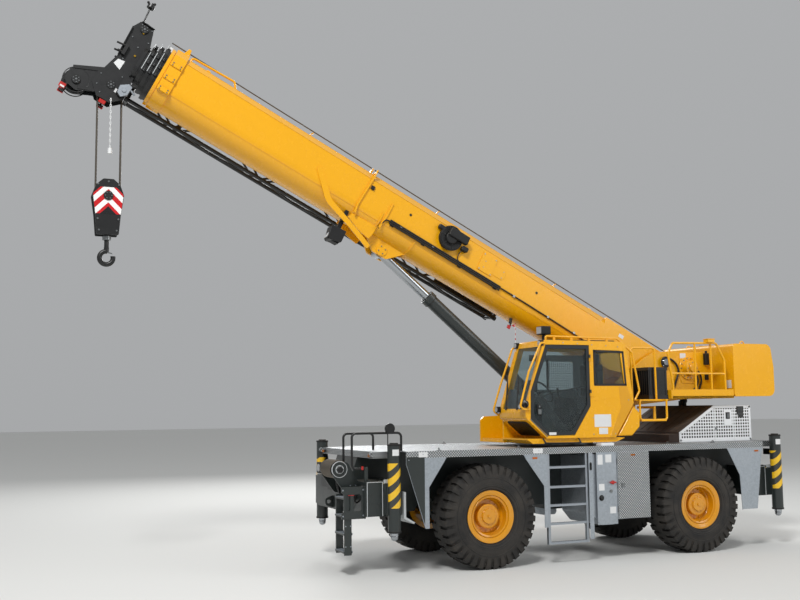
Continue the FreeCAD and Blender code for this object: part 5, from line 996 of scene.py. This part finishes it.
treads = Piece("step_grating", "carrier", GALVANISED)
for z in (330, 575, 820, 1065):
    for y in range(630, 985, 24):
        treads.box((1918, 2047), (y, y + 9), (z + 22, z + 29))
    treads.box((1916, 1922), (621, 989), (z, z + 30))
treads.done(1)
lines = Piece("front_supply_lines", "carrier", HOSE)
for y, sag in ((330, 40), (380, 70), (560, 55), (620, 90)):
    lines.tube([(1745, y, 1180), (1800, y + 10, 1160 - sag), (1880, y + 30, 1150 - sag),
                (1930, y + 40, 1240), (1940, y + 40, 1330)], 13)
lines.tube([(1745, 860, 1050), (1820, 900, 1010), (1860, 930, 1080), (1800, 950, 1200),
            (1745, 940, 1240)], 13)
lines.done()
block = Piece("front_valve_block", "carrier", DARK)
block.box((1742, 1850), (-260, 180), (1120, 1330))
block.box((1742, 1800), (-700, -340), (1140, 1280))
for y in (-200, -120, -40, 40, 120):
    block.rod((1850, y, 1290), (1850, y, 1291), 1, 6)
    block.rod((1850, y, 1270), (1890, y, 1270), 20, 14)
block.done(5)
shade = Piece("front_lamps", "carrier", BLACK)
glow = Piece("front_lamp_lenses", "carrier", LENS)
amber = Piece("front_marker_lenses", "carrier", AMBER)
shade.box((1742, 1800), (-910, -730), (1330, 1500))
glow.rod((1800, -820, 1415), (1808, -820, 1415), 62, 32)
for y in (-960, 1020):
    shade.box((1650, 1672), (y - 40, y + 40), (1640, 1690))
    amber.box((1672, 1684), (y - 34, y + 34), (1646, 1684))
shade.done(5)
glow.done()
amber.done(2)
tail_lamp = Piece("rear_lamp_housings", "carrier", BLACK)
red_lens = Piece("rear_lamp_lenses", "carrier", RED_LENS)
for y in (-900, 900):
    tail_lamp.box((-5712, -5692), (y - 130, y + 130), (1480, 1580))
    for spot in (-80, 0, 80):
        red_lens.rod((-5718, y + spot, 1530), (-5711, y + spot, 1530), 34, 24)
tail_lamp.done(4)
red_lens.done()
hitch = Piece("rear_hitch", "carrier", DARK)
hitch.box((-5700, -5690), (-160, 160), (1330, 1600))
hitch.hoop((-5742, 0, 1440), (0, 1, 0), 48, 12)
hitch.done(4)
reflectors = Piece("side_reflectors", "carrier", AMBER)
for side in (1, -1):
    for x in (-850, -2600, -5050):
        reflectors.box((x - 40, x + 40), span(side, PANEL, PANEL + 4), (1560, 1585))
reflectors.done(1)
clip = Piece("winch_hook_tag", "carrier", RED)
clip.box((1760, 1790), (1016, 1020), (1470, 1520))
clip.box((1900, 1990), (1013, 1016), (1120, 1128))
clip.done()

# under the carrier: drive shafts and their gearbox
shaft = Piece("drive_shafts", "carrier", GREY_GREEN)
shaft.rod((-340, 60, 760), (-1700, 60, 880), 48, 20)
shaft.rod((-3690, 60, 760), (-2300, 60, 880), 48, 20)
shaft.box((-2320, -1680), (-180, 260), (700, 1010))
shaft.done(4)

# boom, base section: ribs, seams, reel, lines, hatch, guides, lamps, labels, collar
ribs = Piece("boom_side_ribs", "boom_base", YELLOW, BOOM)
for side in (1, -1):
    low, high = span(side, BEAM_SIDE, BEAM_SIDE + 34)
    ribs.plate([(5931, 230), (5953, 230), (5960, 60), (6008, -430), (5990, -560), (5966, -560),
                (5982, -420), (5938, 60)], low, high)
    low, high = span(side, BEAM_SIDE, BEAM_SIDE + 28)
    ribs.plate([(5480, -105), (5500, -105), (5512, -330), (5545, -560), (5520, -560),
                (5486, -330)], low, high)
ribs.box((5931, 5953), (-330, 330), (178, 206))
ribs.done(3)
wedge = Piece("boom_lug_wedge", "boom_base", YELLOW, BOOM)
for side in (1, -1):
    wedge.plate([(6032, -640), (5990, -560), (5545, -540), (5560, -700), (5590, -780),
                 (5800, -740)], *span(side, 252, 268))
wedge.done(3)
# the weld beads are real; their darker yellow is painted shade along them
seam = Piece("boom_weld_seams", "boom_base", YELLOW_PAINTED_SHADE, BOOM)
for side in (1, -1):
    seam.rod((1400, 321 * side, 60), (9150, 321 * side, 60), 4, 8)
    seam.rod((700, 302 * side, -470), (9150, 302 * side, -470), 4, 8)
    seam.rod((700, 201 * side, 180), (9150, 201 * side, 180), 4, 8)
seam.done()
holes = Piece("boom_plug_holes", "boom_base", BLACK, BOOM)
for side in (1, -1):
    for along, height in ((5157, -107), (2661, -113)):
        holes.rod((along, 319 * side, height), (along, 322 * side, height), 22, 24)
holes.box((5862, 5918), (320, 346), (-88, -30))
holes.done()
reel = Piece("reel_case", "boom_base", BLACK, BOOM)
reel.box((4150, 4500), (392, 470), (-100, 40))
reel.rod((4420, 410, -110), (4420, 440, -110), 96, 36)
reel.box((4560, 4680), (330, 400), (-60, 10))
reel.box((4080, 4190), (330, 420), (-190, -110))
reel.done(12)
reel = Piece("reel_spokes", "boom_base", DARK, BOOM)
for index in range(6):
    angle = math.pi * index / 3
    reel.rod((4420, 396, -110), (4420 + 188 * math.cos(angle), 396, -110 + 188 * math.sin(angle)),
             8, 8)
for radius in (60, 120, 170, 186):
    reel.hoop((4420, 396, -110), (0, 1, 0), radius, 6)
reel.done()
lines = Piece("boom_side_line", "boom_base", HOSE, BOOM)
lines.tube([(5530, 300, -560), (5528, 330, -526), (5500, 338, -420), (5440, 338, -384),
            (5304, 338, -377)], 12)
lines.tube([(3310, 338, -371), (2600, 336, -374), (1661, 336, -393), (1250, 330, -420)], 12)
lines.tube([(4162, 380, -150), (4175, 350, -250), (4169, 338, -317), (4120, 338, -356)], 8)
lines.done()
clamps = Piece("boom_line_clamps", "boom_base", ZINC, BOOM)
for along in (5200, 4600, 3000, 2300, 1750):
    clamps.box((along, along + 36), (320, 356), (-394, -358))
clamps.done(2)
hatch = Piece("boom_hatch", "boom_base", YELLOW, BOOM)
hatch.plate([(3768, -120), (3740, -90), (3640, -76), (3340, -76), (3300, -100), (3290, -140),
             (3290, -210), (3320, -246), (3660, -250), (3750, -235)], 320, 327)
hatch.done(4)
knobs = Piece("boom_hatch_bolts", "boom_base", ZINC, BOOM)
knobs.bolts([(x, 332, z) for x in (3545, 3765) for z in (-270, -10)], (0, 1, 0), 11, 8)
knobs.bolts([(x, 327, z) for x in (3340, 3700) for z in (-110, -215)], (0, 1, 0), 9, 6)
knobs.done()
# the rope guides are drawn in the darker yellow: painted shade
guides = Piece("rope_guides", "boom_base", YELLOW_PAINTED_SHADE, BOOM)
for along in (2298, 4701, 7080):
    guides.plate([(along, 178), (along + 20, 178), (along - 18, 300), (along - 40, 330),
                  (along - 56, 322), (along - 34, 290)], -12, 12)
    guides.rod((along - 10, -60, 232), (along - 10, 60, 232), 14, 12)
guides.plate([(5950, 200), (5980, 200), (5960, 330), (5940, 330)], -60, 60)
guides.done(2)
pad = Piece("rope_guide_pads", "boom_base", LABEL, BOOM)
pad.box((5925, 5965), (-50, 50), (296, 336))
pad.done(4)
line = Piece("hoist_line_to_head", "boom_base", ROPE, BOOM)
line.rod((250, 0, 331), (9480, 0, 348), 9.5, 10)
line.done()
line = Piece("hoist_line_from_drum", "superstructure", ROPE, BOOM)
line.rod((-560, 0, 330), (249, 0, 331), 9.5, 10)
line.done()
lamp = Piece("boom_flood_lamp", "boom_base", BLACK, BOOM)
lamp.box((5985, 6180), (150, 300), (-1110, -1000))
lamp.tube([(6070, 220, -900), (6100, 240, -960), (6060, 250, -1010)], 9)
lamp.done(8)
lens = Piece("boom_flood_lens", "boom_base", LENS, BOOM)
lens.box((6181, 6186), (165, 285), (-1095, -1015))
lens.done(2)
tag = Piece("boom_plumb_lamp", "boom_base", BLACK, BOOM)
tag.rod((2824, 150, -655), (2800, 150, -735), 26, 16)
tag.rod((2800, 150, -735), (2780, 150, -770), 12, 12)
tag.done()
tag = Piece("boom_red_tag", "boom_base", RED, BOOM)
tag.box((2770, 2830), (140, 160), (-830, -770))
tag.done(4)
labels = Piece("boom_labels", "boom_base", LABEL, BOOM)
for side in (1, -1):
    labels.box((860, 960), span(side, 319, 321), (-10, 50))
labels.done()
lug = Piece("lift_pin_plates", "boom_base", YELLOW, BOOM)
for side in (1, -1):
    lug.rod((5280, 129 * side, -780), (5280, 141 * side, -780), 92, 40)
lug.done(3)
lug = Piece("lift_pin_bolts", "boom_base", STEEL, BOOM)
for side in (1, -1):
    lug.ring((5280, 141 * side, -780), (0, side, 0), 58, 4, 11, 9, 0.6)
lug.done()
collar = Piece("base_collar_pads", "boom_base", YELLOW, BOOM)
for side in (1, -1):
    for z in (-60, -280, -470):
        collar.box((9170, 9360), span(side, 330, 366), (z - 34, z + 34))
for y in (-180, 180):
    collar.box((9170, 9360), (y - 40, y + 40), (200, 226))
collar.plate([(9160, 176), (9190, 176), (9260, 300), (9230, 392), (9190, 392)], -54, -36)
collar.plate([(9160, 176), (9190, 176), (9260, 300), (9230, 392), (9190, 392)], 36, 54)
collar.rod((8837, -70, 215), (8837, 70, 215), 46, 24)
collar.plate([(8930, 176), (8740, 176), (8800, 250), (8870, 250)], -60, 60)
collar.done(4)
collar = Piece("base_collar_bolts", "boom_base", STEEL, BOOM)
for side in (1, -1):
    for z in (-60, -280, -470):
        collar.bolts([(x, 366 * side, z + dz) for x in (9205, 9325) for dz in (-18, 18)],
                     (0, side, 0), 10, 9)
collar.bolts([(x, y, 226) for x in (9205, 9325) for y in (-200, -160, 160, 200)], (0, 0, 1), 10, 9)
collar.done()

# telescoping sections: dark collars with pale rims, wear pads and adjusting bolts
for level, name in enumerate(("boom_section_2", "boom_section_3", "boom_section_4"), start=1):
    stop = 9420 + 84 * level
    half = 320 - level * 38 * 0.84 + 10
    top = 180 - level * 38 * 0.9 + 10
    rim = Piece("section_rim_%d" % level, name, PALE, BOOM)
    rim.plate([(stop - 12, top - 2), (stop, top - 2), (stop, top + 74), (stop - 12, top + 74)],
              -half + 110, half - 110)
    for side in (1, -1):
        rim.box((stop - 10, stop + 1), span(side, half - 3, half + 14), (-330, top - 130))
    rim.done(2)
    pads = Piece("section_pads_%d" % level, name, DARK, BOOM)
    for side in (1, -1):
        for z in (-60, -190, -320):
            pads.box((stop - 62, stop - 14), span(side, half - 2, half + 18), (z - 26, z + 26))
        pads.box((stop - 64, stop - 14), span(side, 70, 150), (top, top + 34))
    pads.done(3)
    screws = Piece("section_screws_%d" % level, name, STEEL, BOOM)
    for side in (1, -1):
        screws.bolts([(stop - 38, side * (half + 18), z + dz) for z in (-60, -190, -320)
                      for dz in (-12, 12)], (0, side, 0), 6, 6)
        screws.bolts([(stop - 40, side * y, top + 34) for y in (90, 130)], (0, 0, 1), 8, 10)
    screws.done()
block = Piece("top_wear_pad", "boom_section_2", LABEL, BOOM)
block.box((9420, 9470), (-70, 70), (146, 260))
block.done(6)

# head: labels, forks, stop tabs, wind cups, pins, fittings, ribs, wedge sockets, chain
blank = Piece("head_label", "boom_tip", LABEL, BOOM)
blank.plate([(10030, -424), (10004, -338), (9906, -322), (9914, -470)], 114, 117)
blank.box((9770, 9830), (126, 129), (-800, -740))
blank.done()
fork = Piece("head_fork_pins", "boom_tip", BLACK, BOOM)
for side in (1, -1):
    fork.rod((10134, 150 * side, -139), (9995, 150 * side, -120), 14, 14)
    fork.rod((10075, 150 * side, -231), (9970, 150 * side, -226), 14, 14)
    fork.box((9960, 10010), span(side, 112, 170), (-260, -90))
fork.done(3)
tabs = Piece("head_stop_tabs", "boom_tip", RED, BOOM)
for side in (1, -1):
    tabs.box((10410, 10500), span(side, 112, 132), (-1130, -1060))
    tabs.box((9850, 9945), span(side, 112, 134), (-1040, -985))
tabs.done(4)
tabs = Piece("head_tab_labels", "boom_tip", LABEL, BOOM)
for side in (1, -1):
    tabs.box((10420, 10480), span(side, 131, 134), (-1125, -1100))
tabs.done()
cups = Piece("wind_cups", "boom_tip", BLACK, BOOM)
for index in range(3):
    angle = 2 * math.pi * index / 3
    tip = (9985 + 62 * math.cos(angle), 60 + 62 * math.sin(angle), 668)
    cups.rod((9985, 60, 660), tip, 4, 8)
    cups.ball(tip, 20, 12)
cups.rod((9985, 60, 600), (9985, 60, 690), 12, 12)
cups.rod((9985, 60, 590), (9985, 60, 640), 26, 16, 18)
cups.done()
pins = Piece("head_pin_plates", "boom_tip", DARK, BOOM)
for along, height in ((9910, -730), (10340, -924), (9900, 250)):
    for side in (1, -1):
        pins.rod((along, HEAD_SIDE * side, height), (along, 138 * side, height), 62, 32)
pins.done(4)
pins = Piece("head_pin_bolts", "boom_tip", STEEL, BOOM)
for along, height in ((9910, -730), (10340, -924), (9900, 250)):
    for side in (1, -1):
        pins.ring((along, 138 * side, height), (0, side, 0), 42, 6, 8, 8)
        pins.rod((along, 138 * side, height), (along, 144 * side, height), 14, 16)
pins.bolts([(x, 114, z)
            for x,
            z in ((9854, -38), (9823, -172), (9951, -300), (9760, 100), (9990, 60), (9742, -300),
                  (9800, 290), (9960, 300))], (0, 1, 0), 11, 10)
pins.bolts([(x, 126, z)
            for x,
            z in ((9830, -548), (9700, -660), (9700, -800), (9990, -910), (10080, -820),
                  (10100, -660))], (0, 1, 0), 10, 9)
pins.done()
brass = Piece("head_grease_fittings", "boom_tip", BRASS, BOOM)
brass.box((9815, 9845), (114, 128), (-186, -160))
brass.rod((9884, 114, 187), (9884, 132, 187), 14, 14)
brass.done(2)
arms = Piece("nose_arm_ribs", "boom_tip", DARK, BOOM)
for side in (1, -1):
    low, high = span(side, HEAD_SIDE, HEAD_SIDE + 10)
    arms.plate([(10060, -560), (10110, -560), (10470, -760), (10450, -800), (10090, -620)], low,
               high)
    arms.plate([(10010, -880), (10000, -915), (10260, -1030), (10280, -990)], low, high)
    arms.hoop((10340, 108 * side, -924), (0, 1, 0), 178, 8)
arms.done(2)
arms = Piece("head_plate_ribs", "boom_tip", DARK, BOOM)
for side in (1, -1):
    low, high = span(side, HEAD_SIDE, HEAD_SIDE + 36)
    arms.plate([(9700, 20), (9712, 20), (9760, -480), (9748, -480)], low, high)
    arms.plate([(10050, 190), (10062, 200), (10046, -280), (10034, -280)], low, high)
    arms.plate([(9770, 320), (9780, 330), (9980, 338), (9980, 326)], low, high)
arms.done(2)
socket = Piece("rope_wedge_sockets", "boom_tip", ZINC, BOOM)
socket.plate([(9640, -620), (9700, -600), (9800, -680), (9790, -790), (9720, -830), (9650, -760)],
             168, 176)
socket.rod((9720, 176, -720), (9720, 190, -720), 30, 24)
socket.rod((9560, 150, -700), (9690, 150, -640), 16, 14)
socket.done(3)
chain = Piece("stop_chain", "boom_tip", LABEL)
top = (BOOM @ Vector((9.806, 0.140, -0.930))) / MM
for index in range(17):
    chain.link((top.x, top.y, top.z - index * 42), 30, 9, 4.5, 1 - index % 2)
weight = top.z - 17 * 42
chain.rod((top.x, top.y, weight + 18), (top.x, top.y, weight - 60), 28, 20, 34)
chain.done()

# lift cylinder: collar bolts and rings
collar = Piece("lift_collar_bolts", "lift_barrel", STEEL, LIFT)
collar.ring((3200, 0, 0), (1, 0, 0), 102, 12, 9, 9)
collar.done()
collar = Piece("lift_collar_rings", "lift_barrel", BLACK, LIFT)
collar.hoop((3203, 0, 0), (1, 0, 0), 82, 6)
collar.hoop((3104, 0, 0), (1, 0, 0), 120, 4)
collar.done()

# hook block: striped cheeks, pins, rope guards, latch, bearing, lay of the falls
for side, tag in ((1, "left"), (-1, "right")):
    face = Piece("block_face_" + tag, "hook_block", CHEVRONS)
    low, high = span(side, 105, 108)
    face.plate([(HOOK_X + x, z)
                for x,
                z in ((168, 5440), (206, 5330), (172, 5060), (-172, 5060), (-206, 5330),
                      (-168, 5440))], low, high)
    face.done(1)
    disc = Piece("block_pin_disc_" + tag, "hook_block", BLACK)
    disc.rod((HOOK_X, 105 * side, 5320), (HOOK_X, 124 * side, 5320), 66, 36)
    disc.done(4)
    bolts = Piece("block_bolts_" + tag, "hook_block", STEEL)
    bolts.ring((HOOK_X, 124 * side, 5320), (0, side, 0), 44, 6, 9, 8)
    for x, z in ((-140, 5480), (140, 5480), (-140, 4990), (140, 4990), (-120, 4830), (120, 4830),
                 (0, 5520)):
        bolts.bolts([(HOOK_X + x, 105 * side, z)], (0, side, 0), 14, 11)
    bolts.done()
guard = Piece("block_rope_guards", "hook_block", DARK)
for x, z in ((-205, 5330), (205, 5330), (-150, 5480), (150, 5480), (-140, 4990), (140, 4990)):
    guard.rod((HOOK_X + x * 0.93, -86, z), (HOOK_X + x * 0.93, 86, z), 13, 14)
guard.box((HOOK_X - 150, HOOK_X + 150), (-86, -70), (4780, 4940))
guard.box((HOOK_X - 150, HOOK_X + 150), (70, 86), (4780, 4940))
guard.done(3)
latch = Piece("hook_latch", "hook", STEEL)
latch.plate([(HOOK_X - 84, 4512), (HOOK_X - 70, 4528), (HOOK_X + 2, 4546), (HOOK_X + 6, 4530)],
            -12, 12)
latch.rod((HOOK_X + 2, -26, 4540), (HOOK_X + 2, 26, 4540), 10, 14)
latch.done(2)
collar = Piece("hook_bearing", "hook", STEEL)
collar.rod((HOOK_X, 0, 4705), (HOOK_X, 0, 4760), 58, 32)
collar.hoop((HOOK_X, 0, 4735), (0, 0, 1), 58, 5)
collar.done(3)
strands = Piece("fall_lay", "hook_block", ROPE_DARK)
for side in (-1, 1):
    for x in (-165.3, 165.3):
        for turn in range(3):
            strands.strand((HOOK_X + x, side * 35, 5330), 1550, 8.6, 2.4, 140, turn * 2.09)
strands.done()

# folded jib: end sleeves, box, hangers
cap = Piece("jib_end_sleeves", "boom_base", BLACK, BOOM)
for z, y in ((-620, -400), (-110, -400), (-570, -760), (-160, -760)):
    cap.rod((2830, y, z), (2880, y, z), 36, 18)
    cap.rod((9610, y, z), (9670, y, z), 38, 18)
cap.done(3)
shell = Piece("jib_box", "boom_base", BLACK, BOOM)
shell.plate([(2900, -590), (2900, -150), (3500, -150), (4100, -320), (4100, -590)], -430, -412)
for x in (3050, 3250, 3450):
    shell.rod((x, -432, -250), (x, -410, -250), 34, 24)
shell.done(3)
hanger = Piece("jib_hanger_plates", "boom_base", YELLOW, BOOM)
for x in (3360, 8760):
    hanger.plate([(x - 30, -330), (x + 100, -330), (x + 80, -100), (x - 10, -100)], -382, -372)
    hanger.box((x - 20, x + 90), (-372, -318), (-260, -244))
hanger.plate([(5190, -700), (4760, -740), (4700, -800), (4800, -850), (5160, -820)], -210, -190)
hanger.done(3)


# stage: floor, world, lamps and camera, in metres
floor_finish, tree, place = begin("studio floor, pale matt")
end(floor_finish, {"Base Color": linear("d9d9d6"), "Roughness": 0.85})
mesh = bmesh.new()
bmesh.ops.create_grid(mesh, x_segments=1, y_segments=1, size=120)
data = bpy.data.meshes.new("floor")
mesh.to_mesh(data)
mesh.free()
data.materials.append(floor_finish)
floor = bpy.data.objects.new("floor", data)
bpy.context.scene.collection.objects.link(floor)

# the world is darker below than above
world = bpy.data.worlds.new("studio")
world.use_nodes = True
tree = world.node_tree
tree.nodes.clear()
direction = add(tree, "ShaderNodeTexCoord", {}, "Generated")
upward = add(tree, "ShaderNodeSeparateXYZ", {"Vector": direction}, "Z")
below = add(tree, "ShaderNodeMath", {0: upward, 1: 1.0}, operation="ADD")
shade = add(tree, "ShaderNodeMix", {0: below, 6: linear("b4b6b8"), 7: linear("e4e6e8")}, 2,
            data_type="RGBA")
shade = add(tree, "ShaderNodeMix", {0: upward, 6: shade, 7: linear("f4f6f8")}, 2,
            data_type="RGBA")
light = add(tree, "ShaderNodeBackground", {"Color": shade, "Strength": 0.5})
add(tree, "ShaderNodeOutputWorld", {"Surface": light})
bpy.context.scene.world = world

# name, place, aim, width, watts
for name, spot, aim, width, watts in (
        ("key light", (11, 15, 20), (-1, 0, 2), 5, 4100),
        ("fill light", (-13, 12, 9), (-2, 0, 2), 9, 700),
        ("rim light", (-3, -16, 12), (-1, 0, 3), 8, 1500)):
    lamp = bpy.data.lights.new(name, "AREA")
    lamp.shape, lamp.size, lamp.energy = "DISK", width, watts
    made = bpy.data.objects.new(name, lamp)
    made.location = spot
    made.rotation_euler = (Vector(aim) - Vector(spot)).to_track_quat("-Z", "Y").to_euler()
    bpy.context.scene.collection.objects.link(made)

# the camera stands where the photograph was taken, solved from the wheels and the deck
lens = bpy.data.cameras.new("camera")
lens.lens, lens.sensor_width, lens.clip_end = 45.659, 36, 400
camera = bpy.data.objects.new("camera", lens)
camera.rotation_mode = "QUATERNION"
camera.rotation_quaternion = Matrix(((-0.918769, 0.032515, 0.393454),
                                     (0.394652, 0.102404, 0.913106),
                                     (-0.010602, 0.994211, -0.106918))).to_quaternion()
camera.location = (6.9766, 14.4899, 2.3142)
bpy.context.scene.collection.objects.link(camera)
bpy.context.scene.camera = camera
bpy.context.scene.view_settings.view_transform = "Standard"
